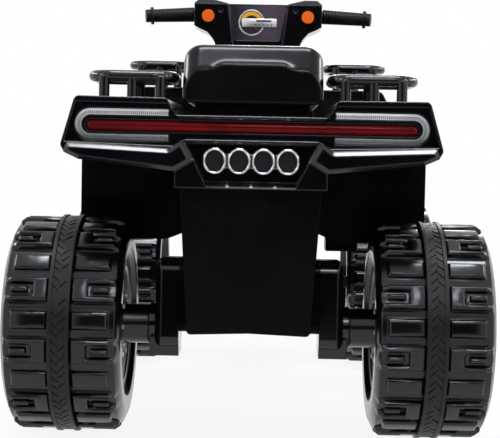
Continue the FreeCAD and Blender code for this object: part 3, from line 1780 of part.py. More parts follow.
def make_footwell(label, side):
    body = new_body(f"{label}_moulding")
    top = S.footwell_top
    thick = S.footwell_thickness
    rear = fender_front_y
    front = rear + S.footwell_length
    lip = S.footwell_lip

    def handed(outline):
        return outline if side > 0 else mirrored(outline)

    section = handed(footwell_section(top - thick, top, lip))
    pad(body, "floor", "XZ", rear, [section], S.footwell_length, toward=1)
    pad(body, "riser", "XZ", rear, [handed(riser_outline(top - thick))], S.riser_thickness, toward=1)
    toe = handed(rectangle(S.footwell_flank, S.footwell_width - thick / 2, top - thick / 2, top + lip))
    pad(body, "toe_rail", "XZ", front - thick, [toe], thick, toward=1)
    rib_count = COUNTS["floor_rib_count"]
    pitch = (pedal_hinge_y - S.pedal_barrel - rear - lip) / (rib_count + 1)
    inner = S.footwell_flank + lip
    outer = S.footwell_width - thick - lip
    ribs = []
    for i in range(rib_count):
        y = rear + lip + pitch * (i + 1)
        ribs.append(handed(rectangle(inner, outer, y - S.footwell_rib / 2, y + S.footwell_rib / 2)))
    pad(body, "heel_ribs", "XY", top - thick / 2, ribs, thick / 2 + S.footwell_rib / 2, toward=1)
    if side > 0:
        add_pedal_mounts(body)
    cut = doc.addObject("Part::Cut", label)
    cut.Base = body
    cut.Tool = tub
    return keep(cut, label)


def add_pedal_mounts(body):
    """Two ears on the floor with a bore for the pedal's pin, and the switch box below the floor."""
    box_rear = pedal_hinge_y
    box_inner = S.pedal_offset - S.pedal_box_width
    box_front = box_rear + S.pedal_box_length
    box = rectangle(box_inner, S.pedal_offset, box_rear, box_front, S.footwell_rib)
    box_top = S.footwell_top - S.footwell_thickness / 2
    pad(body, "switch_box", "XY", box_top - S.pedal_box_height, [box], S.pedal_box_height, toward=1)
    half = S.pedal_width / 2 + S.running_gap
    ear_half = S.pedal_barrel / 2
    ear_top = pedal_hinge_z + S.pedal_barrel / 2
    ear_foot = S.footwell_top - S.footwell_rib
    ear = rectangle(pedal_hinge_y - ear_half, pedal_hinge_y + ear_half, ear_foot, ear_top)
    for name, start, toward in (
        ("inner_ear", S.pedal_offset - half, -1),
        ("outer_ear", S.pedal_offset + half, 1),
    ):
        pad(body, name, "YZ", start, [ear], S.pedal_ear, toward=toward)
    hole = (pedal_hinge_y, pedal_hinge_z, S.pedal_pin_diameter / 2 + S.axle_clearance)
    start = S.pedal_offset - half - S.pedal_ear - S.cut_overrun
    length = (half + S.pedal_ear + S.cut_overrun) * 2
    pocket(body, "pedal_pin_bore", "YZ", start, [hole], length, toward=1)


def make_pedal():
    """The accelerator: a sloped ribbed plate on a barrel, drawn level and turned up about its pin."""
    body = new_body("accelerator_pedal")
    half = S.pedal_width / 2
    barrel = (0, 0, S.pedal_barrel / 2)
    thick = S.pedal_thickness
    plate = rectangle(0, S.pedal_length, S.pedal_barrel / 2 - thick, S.pedal_barrel / 2)
    symmetric_pad(body, "barrel", "YZ", [barrel], half * 2)
    symmetric_pad(body, "plate", "YZ", [plate], half * 2)
    rib_count = COUNTS["floor_rib_count"]
    pitch = S.pedal_length / (rib_count + 1)
    ribs = [
        rectangle(
            pitch * (i + 1) - S.footwell_rib / 2,
            pitch * (i + 1) + S.footwell_rib / 2,
            S.pedal_barrel / 2 - thick / 2,
            S.pedal_barrel / 2 + S.footwell_rib / 2,
        )
        for i in range(rib_count)
    ]
    symmetric_pad(body, "ribs", "YZ", ribs, half * 2 - thick * 2)
    pin_hole = (0, 0, S.pedal_pin_diameter / 2 + S.axle_clearance)
    through_pocket(body, "pin_bore", "YZ", [pin_hole])
    place(body, S.pedal_offset, pedal_hinge_y, pedal_hinge_z, S.pedal_slope)
    keep(body, "accelerator_pedal")
    pin = new_body("pedal_pin")
    length = S.pedal_width + (S.running_gap + S.pedal_ear) * 2
    symmetric_pad(pin, "rod", "YZ", [(0, 0, S.pedal_pin_diameter / 2)], length)
    place(pin, S.pedal_offset, pedal_hinge_y, pedal_hinge_z)
    keep(pin, "pedal_pin")


make_footwell("left_footwell", -1)
make_footwell("right_footwell", 1)
make_pedal()


# Front axle beam, king pins, knuckles and tie rod

king_x = half_track - S.king_pin_offset
beam_top = S.frame_bottom
fork_radius = S.beam_depth / 2
king_radius = S.king_pin_diameter / 2


def make_beam():
    body = new_body("front_axle_beam")
    half = S.beam_half_width
    depth = S.beam_depth / 2
    block = rectangle(-half, half, front_axle_y - depth, front_axle_y + depth)
    pad(body, "beam", "XY", S.beam_bottom, [block], beam_top - S.beam_bottom, toward=1)
    reach = king_x + fork_radius
    root = half - S.fork_plate
    plates = [
        rectangle(-reach, -root, front_axle_y - depth, front_axle_y + depth),
        rectangle(root, reach, front_axle_y - depth, front_axle_y + depth),
    ]
    pad(body, "upper_forks", "XY", beam_top - S.fork_plate, plates, S.fork_plate, toward=1)
    pad(body, "lower_forks", "XY", S.beam_bottom, plates, S.fork_plate, toward=1)
    channel = rectangle(
        S.fork_plate - half, half - S.fork_plate, S.beam_bottom + S.fork_plate, beam_top - S.fork_plate
    )
    channel_depth = (S.beam_depth - S.beam_web) / 2 + S.cut_overrun
    rear_face, front_face = front_axle_y - depth, front_axle_y + depth
    pocket(body, "rear_channel", "XZ", rear_face - S.cut_overrun, [channel], channel_depth, toward=1)
    pocket(body, "front_channel", "XZ", front_face + S.cut_overrun, [channel], channel_depth, toward=-1)
    rib_half = S.beam_rib / 2
    rib_low, rib_high = S.beam_bottom + S.fork_plate / 2, beam_top - S.fork_plate / 2
    ribs = [
        rectangle(side * S.beam_rib_offset - rib_half, side * S.beam_rib_offset + rib_half, rib_low, rib_high)
        for side in (-1, 1)
    ]
    pad(body, "channel_ribs", "XZ", rear_face, ribs, S.beam_depth, toward=1)
    holes = [(side * king_x, front_axle_y, king_radius + S.axle_clearance) for side in (-1, 1)]
    pocket(body, "king_pin_bores", "XY", beam_top + S.cut_overrun, holes, beam_top, toward=-1)
    return keep(body, "front_axle_beam")


clip_share = 0.9


def make_king_pins():
    group = doc.addObject("Part::Compound", "king_pins")
    pins = []
    for side in (-1, 1):
        pin = new_body(f"king_pin_{'left' if side < 0 else 'right'}")
        spot = (side * king_x, front_axle_y)
        head = S.king_pin_head / 2
        cap = S.fork_plate / 2
        shank = beam_top - S.beam_bottom + cap * 2
        pad(pin, "shank", "XY", S.beam_bottom - cap, [(*spot, king_radius)], shank)
        pad(pin, "head", "XY", beam_top, [(*spot, head)], cap, toward=1)
        pad(pin, "clip", "XY", S.beam_bottom, [(*spot, head * clip_share)], cap, toward=-1)
        pins.append(pin)
    group.Links = pins
    return keep(group, "king_pins")


arm_bottom = S.tie_rod_level + S.tie_rod_thickness / 2 + S.fit_gap


end_round_share = 0.9


def make_knuckle(label, side):
    """A barrel on the king pin with a stub axle outwards and a steering arm behind."""
    body = new_body(label)
    spot = (side * king_x, front_axle_y)
    barrel_bottom = S.beam_bottom + S.fork_plate + S.running_gap
    barrel_height = beam_top - S.beam_bottom - S.fork_plate * 2 - S.running_gap * 2
    pad(body, "barrel", "XY", barrel_bottom, [(*spot, S.knuckle_diameter / 2)], barrel_height, toward=1)
    shoulder_end = half_track - front_hub_inner - S.running_gap
    shoulder = (front_axle_y, axle_height, S.stub_shoulder_diameter / 2)
    pad(body, "shoulder", "YZ", spot[0], [shoulder], shoulder_end - king_x, toward=side)
    stub = (front_axle_y, axle_height, axle_radius)
    pad(body, "stub_axle", "YZ", spot[0], [stub], axle_reach - king_x, toward=side)
    arm_y = front_axle_y - S.steering_arm
    arm_half = S.tie_rod_width / 2
    arm_round = arm_half * end_round_share
    arm = rectangle(spot[0] - arm_half, spot[0] + arm_half, arm_y - arm_half, front_axle_y, arm_round)
    pad(body, "arm", "XY", arm_bottom, [arm], S.arm_thickness, toward=1)
    pin = (spot[0], arm_y, S.arm_pin_diameter / 2)
    pin_bottom = arm_bottom - S.tie_rod_thickness * 2
    pad(body, "arm_pin", "XY", pin_bottom, [pin], arm_bottom - pin_bottom, toward=1)
    hole = (*spot, king_radius + S.axle_clearance)
    pocket(body, "king_pin_bore", "XY", beam_top, [hole], beam_top, toward=-1)
    return keep(body, label)


crank_drop = S.frame_bottom - S.tie_rod_level
crank_pin_y = front_axle_y + crank_drop * sine(S.steering_rake) / cosine(S.steering_rake)
crank_pin_y = crank_pin_y - S.steering_arm / cosine(S.steering_rake)


plate_share = 1.5
slot_round_share = 0.8


def make_tie_rod():
    """A flat bar between the steering arms, with a wider middle slotted for the column's crank pin."""
    body = new_body("tie_rod")
    half = S.tie_rod_width / 2
    arm_y = front_axle_y - S.steering_arm
    bottom = S.tie_rod_level - S.tie_rod_thickness / 2
    bar = rectangle(-king_x - half, king_x + half, arm_y - half, arm_y + half, half * end_round_share)
    pad(body, "bar", "XY", bottom, [bar], S.tie_rod_thickness, toward=1)
    plate = rectangle(-half * 2, half * 2, arm_y - half, crank_pin_y + half * plate_share)
    pad(body, "slot_plate", "XY", bottom, [plate], S.tie_rod_thickness, toward=1)
    eyes = [(side * king_x, arm_y, S.arm_pin_diameter / 2 + S.axle_clearance) for side in (-1, 1)]
    through = S.tie_rod_thickness + S.cut_overrun * 2
    pocket(body, "eyes", "XY", bottom - S.cut_overrun, eyes, through, toward=1)
    play = S.crank_pin_diameter / 2 + S.crank_slot_play
    slot = rectangle(-play, play, crank_pin_y - play, crank_pin_y + play, play * slot_round_share)
    pocket(body, "crank_slot", "XY", bottom - S.cut_overrun, [slot], S.tie_rod_thickness + S.cut_overrun * 2)
    return keep(body, "tie_rod")


make_beam()
make_king_pins()
make_knuckle("left_knuckle", -1)
make_knuckle("right_knuckle", 1)
make_tie_rod()
make_axle_nuts("front_left_axle_nut", [(-1, front_axle_y)])
make_axle_nuts("front_right_axle_nut", [(1, front_axle_y)])


# Steering column and handlebar, drawn along the column: x across, y forward, z up the column

bar_z = S.column_length
bar_radius = S.bar_diameter / 2
bar_run = S.bar_half_length - S.bar_bend
sweep_slope = S.bar_sweep / bar_run
sweep_angle = Size(math.degrees(math.atan(sweep_slope.value)), f"(atan({sweep_slope.text}) / 1 deg)")


def make_column():
    body = new_body("steering_column")
    foot = S.column_foot + S.fit_gap
    pad(body, "rod", "XY", foot, [(0, 0, column_radius)], bar_z - foot, toward=1)
    half = S.crank_width / 2
    arm = rectangle(-half, half, -S.steering_arm - half, half, half * end_round_share)
    pad(body, "crank_arm", "XY", S.crank_level, [arm], S.crank_thickness, toward=1)
    pin = (0, -S.steering_arm, S.crank_pin_diameter / 2)
    pad(body, "crank_pin", "XY", S.crank_level, [pin], S.crank_level + S.crank_pin_foot, toward=-1)
    through_pocket(body, "bar_saddle", "YZ", [(0, bar_z, bar_radius + S.fit_gap)])
    steered(body)
    return keep(body, "steering_column")


def make_bar():
    body = new_body("handlebar_tube")
    route = [
        (-S.bar_half_length, -S.bar_sweep),
        (-S.bar_bend, 0, S.bar_bend_radius),
        (S.bar_bend, 0, S.bar_bend_radius),
        (S.bar_half_length, -S.bar_sweep),
    ]
    path = new_sketch(body, "bar_path", "XY", bar_z)
    draw_outline(path, route, closed=False)
    doc.recompute()
    end = (-S.bar_sweep, bar_z, -S.bar_half_length)
    ring = new_sketch(body, "bar_section", "YZ", origin=end, tilt=sweep_angle, axis="0; 1; 0")
    draw_circle(ring, 0, 0, bar_radius)
    doc.recompute()
    feature = body.newObject("PartDesign::AdditivePipe", "tube")
    feature.Profile = ring
    feature.Spine = (path, [f"Edge{i + 1}" for i in range(len(path.Shape.Edges))])
    steered(body)
    return keep(body, "handlebar_tube")


make_column()
make_bar()


# Grips on the swept ends of the bar

grip_start = S.cowl_half_width + S.grip_diameter / 2 * sine(sweep_angle) + S.running_gap


def make_grips():
    """Two tapered rubber grips with an end flange and a closed cap, each drawn along its own axis."""
    grip = S.grip_diameter / 2
    tip = S.grip_end_diameter / 2
    flange = S.grip_flange_diameter / 2
    bore = bar_radius + S.fit_gap
    cap_start = S.grip_length - S.grip_cap
    rod_end = (S.bar_half_length - grip_start) / cosine(sweep_angle) + S.fit_gap
    section = [
        (0, bore),
        (rod_end, bore),
        (rod_end, 0),
        (S.grip_length, 0),
        (S.grip_length, tip),
        (cap_start, tip),
        (cap_start, flange),
        (cap_start - S.grip_flange_thickness, flange),
        (cap_start - S.grip_flange_thickness, tip),
        (0, grip),
    ]
    start_y = -(grip_start - S.bar_bend) * S.bar_sweep / bar_run
    rake = placement_text(*steering_pivot, S.steering_rake)
    grips = []
    for side, name in ((-1, "left"), (1, "right")):
        body = new_body(f"grip_{name}")
        revolve(body, "sleeve", "XY", [section], "H_Axis")
        turn = -sweep_angle if side > 0 else 180 + sweep_angle
        own = placement_text(side * grip_start, start_y, bar_z, turn, "0; 0; 1")
        body.setExpression("Placement", f"{rake} * {own}")
        grips.append(body)
    group = doc.addObject("Part::Compound", "handlebar_grips")
    group.Links = grips
    return keep(group, "handlebar_grips")


make_grips()


# Handlebar cowl in two halves that close round the bar, with a dash panel and two push buttons


neck_across_shares = (0.03, 0.14, 0.4, 0.78)
neck_down_shares = (0.87, 0.74, 0.56, 0.46)
pod_foot_share = 0.38
pod_corner_share = 0.65


def cowl_outline(inset):
    """Face view of the cowl about the bar's middle: two pods, a lower dash between them and a neck."""
    neck = S.cowl_neck_half_width - inset
    top = S.cowl_top - inset
    middle = S.cowl_middle_top - inset
    pod = S.cowl_half_width - inset
    corner = S.pod_depth * pod_corner_share
    flare = S.cowl_half_width - S.cowl_neck_half_width
    curve = [
        (neck + flare * across, inset - S.cowl_bottom * down)
        for across, down in zip(neck_across_shares, neck_down_shares)
    ]
    return both_sides(
        [
            (neck, inset - S.cowl_bottom),
            *curve,
            (pod, inset - S.cowl_bottom * pod_foot_share),
            (pod, top - corner),
            (pod - corner, top),
            (pod - corner - S.pod_flat, top),
            (S.dash_top_half_width + S.cowl_wall * 2, middle),
        ]
    )


def pod_outline():
    """Face view of the right pod, the raised part that carries a button."""
    right = cowl_outline(sized(0))[:9]
    beside = S.cowl_wall + S.fit_gap
    return right + [
        (S.dash_top_half_width + beside, S.cowl_middle_top),
        (S.dash_bottom_half_width + beside, -S.cowl_bottom),
    ]


def set_on_bar(body):
    """Sets a piece of the cowl, drawn upright about the middle of the bar, into the machine."""
    x, y, z = steering_pivot
    rake = S.steering_rake
    return place(body, x, y - bar_z * sine(rake), z + bar_z * cosine(rake))


def dash_outline(grow):
    top = S.dash_top_half_width + grow
    bottom = S.dash_bottom_half_width + grow
    corner = S.cowl_wall
    low = -S.dash_bottom - grow
    high = S.dash_top + grow
    return [(-bottom, low, corner), (bottom, low, corner), (top, high, corner), (-top, high, corner)]


pod_face_y = -(S.cowl_rear_depth + S.pod_depth)
cowl_inner_y = -(S.cowl_rear_depth - S.cowl_face)
button_spots = [(side * S.button_offset, -S.button_drop) for side in (-1, 1)]
button_radius = S.button_diameter / 2
flange_radius = button_radius + S.button_flange
flange_seat_y = pod_face_y + S.button_flange * 2


def bar_passages(body):
    """Clears the bar and the column where they pass through a half of the cowl."""
    gap = S.fit_gap
    reach = S.cowl_half_width * 2
    symmetric_pocket(body, "bar_way", "YZ", [(0, 0, bar_radius + gap)], reach + S.pod_depth)
    rake = S.steering_rake
    bend = (S.cowl_half_width - S.bar_bend) * sweep_slope
    exit_spot = (-bend * cosine(rake), -bend * sine(rake), bar_radius + gap * 2)
    for side, name in ((-1, "left"), (1, "right")):
        start = side * (S.cowl_half_width + S.cut_overrun)
        pocket(body, f"{name}_bar_exit", "YZ", start, [exit_spot], S.pod_depth * 2, toward=-side)
    way = new_sketch(body, "column_way_sketch", "XY", origin=(0, 0, 0), tilt=rake)
    draw_circle(way, 0, 0, column_radius + gap)
    feature = body.newObject("PartDesign::Pocket", "column_way")
    feature.Profile = way
    bind(feature, "Length", S.cowl_bottom + S.cowl_rear_depth + S.cowl_front_depth)
    return feature


def make_cowl():
    body = new_body("handlebar_cowl")
    over = S.cut_overrun
    face = -S.cowl_rear_depth
    pad(body, "shell", "XZ", face, [cowl_outline(sized(0))], S.cowl_rear_depth - S.fit_gap / 2)
    pods = [pod_outline(), mirrored(pod_outline())]
    pad(body, "pods", "XZ", face, pods, S.pod_depth, toward=-1)
    pocket(body, "hollow", "XZ", cowl_inner_y, [cowl_outline(S.cowl_wall)], S.cowl_rear_depth, toward=1)
    recess = S.dash_thickness + over
    pocket(body, "dash_recess", "XZ", face - over, [dash_outline(S.fit_gap)], recess, toward=1)
    holes = [(*spot, button_radius + S.fit_gap) for spot in button_spots]
    pocket(body, "button_holes", "XZ", pod_face_y - over, holes, S.cowl_rear_depth, toward=1)
    bores = [(*spot, flange_radius + S.fit_gap) for spot in button_spots]
    bore_depth = over + cowl_inner_y - flange_seat_y
    pocket(body, "button_bores", "XZ", cowl_inner_y + over, bores, bore_depth, toward=-1)
    screws = [
        (side * S.pod_hole_offset, S.pod_hole_rise, S.pod_hole_diameter / 2) for side in (-1, 1)
    ]
    pocket(body, "screw_holes", "XZ", pod_face_y - over, screws, S.pod_hole_depth + over, toward=1)
    bar_passages(body)
    high = S.cowl_top
    facet = [
        (pod_face_y - over, high - S.pod_facet - over),
        (pod_face_y + S.pod_facet + over, high + over),
        (pod_face_y - over, high + over),
    ]
    symmetric_pocket(body, "pod_facets", "YZ", [facet], S.cowl_half_width * 2 + over)
    set_on_bar(body)
    return keep(body, "handlebar_cowl")


def make_cowl_cover():
    body = new_body("handlebar_cover")
    start = S.fit_gap / 2
    pad(body, "shell", "XZ", start, [cowl_outline(sized(0))], S.cowl_front_depth, toward=1)
    depth = S.cowl_front_depth - S.cowl_wall
    pocket(body, "hollow", "XZ", start, [cowl_outline(S.cowl_wall)], depth, toward=1)
    bar_passages(body)
    front = S.cowl_front_depth + start
    high = S.cowl_top
    over = S.cut_overrun
    facet = [
        (front + over, high - S.cover_facet - over),
        (front + over, high + over),
        (front - S.cover_facet - over, high + over),
    ]
    symmetric_pocket(body, "top_facet", "YZ", [facet], S.cowl_half_width * 2 + over)
    set_on_bar(body)
    return keep(body, "handlebar_cover")


def make_dash():
    body = new_body("dash_panel")
    recess_floor = -S.cowl_rear_depth + S.dash_thickness
    pad(body, "panel", "XZ", recess_floor, [dash_outline(sized(0))], S.dash_thickness, toward=-1)
    set_on_bar(body)
    return keep(body, "dash_panel")


def make_button(label, spot):
    """A round push button with an inner flange that keeps it in its hole, and a spring stem."""
    body = new_body(label)
    face = pod_face_y - S.button_proud
    flange_start = flange_seat_y + S.fit_gap
    flange_end = flange_start + S.button_flange
    pad(body, "head", "XZ", face, [(*spot, button_radius)], flange_end - face, toward=1)
    pad(body, "flange", "XZ", flange_start, [(*spot, flange_radius)], S.button_flange, toward=1)
    stem = (*spot, S.button_stem / 2)
    pad(body, "stem", "XZ", flange_end, [stem], S.button_stem, toward=1)
    set_on_bar(body)
    return keep(body, label)


make_cowl()
make_cowl_cover()
make_dash()
make_button("left_button", button_spots[0])
make_button("right_button", button_spots[1])


# Battery in a tray on the tub floor, and the control box ahead of it

battery_rear_y = rear_axle_y + S.battery_reach + S.battery_tray_wall


def make_battery():
    body = new_body("battery")
    half = S.battery_width / 2
    front = battery_rear_y + S.battery_length
    base = floor_z + S.battery_tray_wall
    case = rectangle(-half, half, battery_rear_y, front)
    pad(body, "case", "XY", base, [case], S.battery_height, toward=1)
    post = S.terminal_width / 2
    terminals = [
        rectangle(x - post, x + post, front - S.terminal_width * 2, front - S.terminal_width)
        for x in (-half + S.terminal_width, half - S.terminal_width)
    ]
    pad(body, "terminals", "XY", base + S.battery_height, terminals, S.terminal_height, toward=1)
    keep(body, "battery")
    tray = new_body("battery_tray")
    wall = S.battery_tray_wall
    gap = S.fit_gap
    outer = rectangle(-half - wall - gap, half + wall + gap, battery_rear_y - wall - gap, front + wall + gap)
    pad(tray, "block", "XY", floor_z, [outer], S.battery_tray_height, toward=1)
    well = rectangle(-half - gap, half + gap, battery_rear_y - gap, front + gap)
    pocket(tray, "well", "XY", floor_z + wall, [well], S.battery_tray_height, toward=1)
    keep(tray, "battery_tray")


def make_control_box():
    body = new_body("control_box")
    half = S.control_width / 2
    rear = battery_rear_y + S.battery_length + S.control_gap
    case = rectangle(-half, half, rear, rear + S.control_length, S.tub_wall)
    pad(body, "case", "XY", floor_z, [case], S.control_height, toward=1)
    plug = rectangle(-half / 2, half / 2, rear - S.terminal_width, rear + S.tub_wall)
    pad(body, "plug", "XY", floor_z + S.terminal_height, [plug], S.terminal_width, toward=1)
    return keep(body, "control_box")


make_battery()
make_control_box()

doc.recompute()


def export():
    """Checks every object and sub-part, then writes one STEP file for each sub-part."""
    for thing in doc.Objects:
        if "Invalid" in thing.State or "Error" in thing.State:
            raise RuntimeError(f"{thing.Label} failed: {thing.State}")
    for thing in SUBPARTS:
        shape = thing.Shape
        if shape.isNull() or not shape.isValid() or not shape.Solids:
            raise RuntimeError(f"{thing.Label} has no valid solid")
    os.makedirs("parts", exist_ok=True)
    for thing in SUBPARTS:
        thing.Shape.exportStep(os.path.join("parts", f"{thing.Label}.step"))


export()
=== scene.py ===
import bpy
import math
from mathutils import Matrix, Vector


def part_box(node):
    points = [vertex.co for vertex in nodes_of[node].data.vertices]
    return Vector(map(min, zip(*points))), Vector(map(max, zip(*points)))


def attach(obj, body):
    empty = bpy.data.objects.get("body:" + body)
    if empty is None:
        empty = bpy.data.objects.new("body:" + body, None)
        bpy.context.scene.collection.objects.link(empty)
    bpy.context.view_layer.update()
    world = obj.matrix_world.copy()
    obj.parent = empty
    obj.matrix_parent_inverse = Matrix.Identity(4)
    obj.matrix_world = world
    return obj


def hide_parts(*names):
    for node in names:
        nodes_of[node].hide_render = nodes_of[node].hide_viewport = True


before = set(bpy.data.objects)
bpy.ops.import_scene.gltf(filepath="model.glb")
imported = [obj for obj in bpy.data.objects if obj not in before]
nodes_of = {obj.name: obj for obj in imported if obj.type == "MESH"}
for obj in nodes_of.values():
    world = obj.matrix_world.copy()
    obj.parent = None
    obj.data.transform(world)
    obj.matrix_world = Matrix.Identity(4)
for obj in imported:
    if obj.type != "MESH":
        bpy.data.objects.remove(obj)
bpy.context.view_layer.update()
scene = bpy.context.scene
scene.view_settings.view_transform = "Standard"


# Chassis tub: one large blow-moulded satin black plastic shell, a little uneven in its gloss, with a
# fine moulded grain. The same plastic makes the footwells, the battery tray, the steering bushes, the
# control box and the pedal, so its material is set up here.

TEXTURE_LOW, TEXTURE_HIGH = 0.3, 0.7
EDGE_SAMPLES = 4
COOL_SHEEN = (0.9, 0.94, 1.0, 1)
COAT_ROUGHNESS = 0.06


def shader_node(material, kind, **values):
    """Adds a node to a material and sets its named input sockets."""
    made = material.node_tree.nodes.new(kind)
    for socket, value in values.items():
        made.inputs[socket.replace("_", " ")].default_value = value
    return made


def join(material, source, output, target, socket):
    """Links a named output of one node to a named input of another."""
    material.node_tree.links.new(source.outputs[output], target.inputs[socket])


def tone_between(material, factor, output, dark, light):
    """A colour ramp from dark to light, driven by a texture."""
    ramp = material.node_tree.nodes.new("ShaderNodeValToRGB")
    ramp.color_ramp.elements[0].position = TEXTURE_LOW
    ramp.color_ramp.elements[1].position = TEXTURE_HIGH
    ramp.color_ramp.elements[0].color = (*dark, 1)
    ramp.color_ramp.elements[1].color = (*light, 1)
    join(material, factor, output, ramp, "Fac")
    return ramp


def between(material, factor, output, low, high):
    """A plain number from low to high, driven by a texture."""
    span = shader_node(material, "ShaderNodeMapRange")
    span.inputs["From Min"].default_value = TEXTURE_LOW
    span.inputs["From Max"].default_value = TEXTURE_HIGH
    span.inputs["To Min"].default_value = low
    span.inputs["To Max"].default_value = high
    join(material, factor, output, span, "Value")
    return span


def moulded(name, dark, light, rough, grain, depth, edge_radius, coat=0.0, shine=0.3):
    """Moulded plastic or rubber: cloudy tone and gloss, a fine surface grain and softened edges."""
    material = bpy.data.materials.new(name)
    material.use_nodes = True
    surface = material.node_tree.nodes["Principled BSDF"]
    place = shader_node(material, "ShaderNodeTexCoord")
    cloud = shader_node(material, "ShaderNodeTexNoise", Scale=14.0, Detail=4.0, Roughness=0.6)
    join(material, place, "Object", cloud, "Vector")
    tone = tone_between(material, cloud, "Fac", dark, light)
    join(material, tone, "Color", surface, "Base Color")
    gloss = between(material, cloud, "Fac", rough[0], rough[1])
    join(material, gloss, "Result", surface, "Roughness")
    pores = shader_node(material, "ShaderNodeTexNoise", Scale=grain, Detail=2.0, Roughness=0.5)
    join(material, place, "Object", pores, "Vector")
    soft_edge = shader_node(material, "ShaderNodeBevel", Radius=edge_radius)
    soft_edge.samples = EDGE_SAMPLES
    relief = shader_node(material, "ShaderNodeBump", Strength=0.35, Distance=depth)
    join(material, pores, "Fac", relief, "Height")
    join(material, soft_edge, "Normal", relief, "Normal")
    join(material, relief, "Normal", surface, "Normal")
    surface.inputs["Specular IOR Level"].default_value = shine
    surface.inputs["Specular Tint"].default_value = COOL_SHEEN
    surface.inputs["Coat Weight"].default_value = coat
    surface.inputs["Coat Roughness"].default_value = COAT_ROUGHNESS
    return material


def dress(material, *names):
    """Gives CAD nodes a finish."""
    for name in names:
        mesh = nodes_of[name].data
        mesh.materials.clear()
        mesh.materials.append(material)


SATIN_DARK, SATIN_LIGHT = (0.0012, 0.0013, 0.0018), (0.0024, 0.0026, 0.0034)
satin_black = moulded(
    "satin black moulding", SATIN_DARK, SATIN_LIGHT, (0.18, 0.3), 900.0, 0.00012, 0.0025, shine=0.06
)
dress(
    satin_black, "chassis_tub", "left_footwell", "right_footwell", "battery_tray", "steering_bushes",
    "control_box", "accelerator_pedal",
)


# Drive gear under the tub: zinc-plated axle, pins and motor cans, and powder-coated steel for the
# front beam, knuckles, tie rod, column and bumper, with the fine orange peel that such a coat has.


def plated_metal(name, dark, light, rough, scale):
    """Bright metal with fine drawn lines and slightly uneven plating."""
    material = bpy.data.materials.new(name)
    material.use_nodes = True
    surface = material.node_tree.nodes["Principled BSDF"]
    place = shader_node(material, "ShaderNodeTexCoord")
    stretch = shader_node(material, "ShaderNodeMapping", Scale=(0.15, 1.0, 1.0))
    join(material, place, "Object", stretch, "Vector")
    lines = shader_node(material, "ShaderNodeTexNoise", Scale=scale, Detail=3.0, Roughness=0.6)
    join(material, stretch, "Vector", lines, "Vector")
    tone = tone_between(material, lines, "Fac", dark, light)
    join(material, tone, "Color", surface, "Base Color")
    gloss = between(material, lines, "Fac", rough[0], rough[1])
    join(material, gloss, "Result", surface, "Roughness")
    surface.inputs["Metallic"].default_value = 1.0
    soft_edge = shader_node(material, "ShaderNodeBevel", Radius=0.0008)
    soft_edge.samples = EDGE_SAMPLES
    relief = shader_node(material, "ShaderNodeBump", Strength=0.1, Distance=0.0001)
    join(material, lines, "Fac", relief, "Height")
    join(material, soft_edge, "Normal", relief, "Normal")
    join(material, relief, "Normal", surface, "Normal")
    return material


zinc = plated_metal("zinc plated steel", (0.42, 0.42, 0.43), (0.6, 0.6, 0.61), (0.28, 0.45), 500.0)
powder_coat = moulded(
    "black powder coat", (0.006, 0.006, 0.0065), (0.01, 0.01, 0.011), (0.3, 0.42), 650.0, 0.0002, 0.0012
)
battery_grey = moulded(
    "battery case", (0.03, 0.03, 0.033), (0.045, 0.045, 0.048), (0.45, 0.6), 800.0, 0.0001, 0.001
)
dress(
    zinc, "drive_motors", "rear_axle", "rear_axle_nuts", "king_pins", "seat_hinge_pin", "pedal_pin",
    "front_left_axle_nut", "front_right_axle_nut",
)
dress(
    powder_coat, "front_axle_beam", "left_knuckle", "right_knuckle", "tie_rod", "steering_column",
    "front_bumper", "handlebar_tube",
)
dress(battery_grey, "battery")


# Wheels: hollow blow-moulded satin black plastic. Round the tread, clawed blocks alternate with
# tapered cross blocks on both sides of a plain strip for the rubber band. The outer side is deeply
# dished; the rear inner side is a shallow ringed disc with a long sleeve that runs to the gearbox.

TREAD_RADIUS = 0.138
LUG_HEIGHT = 0.009
CROSS_HEIGHT = 0.00675
TREAD_HALF = 0.072
WHEEL_HALF = 0.078
SHOULDER_RADIUS = 0.125
RIM_RADIUS = 0.102
DISH_RADIUS = 0.098
DISH_FLOOR = 0.044
DISC_FLOOR = 0.071
RING_OUTER, RING_INNER = 0.080, 0.047
RING_STEP = 0.0025
HUB_RADIUS = 0.027
HUB_FACE = 0.052
SLEEVE_END = 0.1064
BORE_RADIUS = 0.0061
HUB_DRAFT_SHARE = 0.97
PITCHES = 11
STEPS = 20
CLAW_OFFSET, CLAW_STEPS = 4, 8
PRONG_STEPS, BAR_STEPS = (0, 1, 6, 7), (3, 4)
CROSS_FIRST, CROSS_MIDDLE, CROSS_LAST = 11, 14, 17
STRIP_HALF = 0.0146
SLOT_START = 0.036
BAR_START = 0.042
CROSS_END = BAR_END = 0.064
CROSS_TAPER = 0.13
CROSS_TIP_RUN = 0.004
RAISED_SHARE = 0.8
TREAD_MARGIN = 0.002
END_MARGIN = 0.0005
LUG_END_SHARE = 0.45
BLOCK_DRAFT = 0.0008
BLOCK_ROUND = 0.0024
AXLE_HEIGHT = 0.150
MOULD_RADIUS = 0.0011
CLOSEST_POINTS = 0.000004
FACING = 0.9
SIDEWAYS = 0.5
EDGE_ANGLE, SMOOTH_ANGLE = math.radians(40), math.radians(35)


def start_piece(name):
    """Names the primitive that was just added and leaves it as the only thing selected."""
    piece = bpy.context.view_layer.objects.active
    bpy.ops.object.select_all(action="DESELECT")
    piece.select_set(True)
    bpy.ops.object.transform_apply(location=True, rotation=True, scale=True)
    piece.name = name
    piece.data.name = name
    return piece


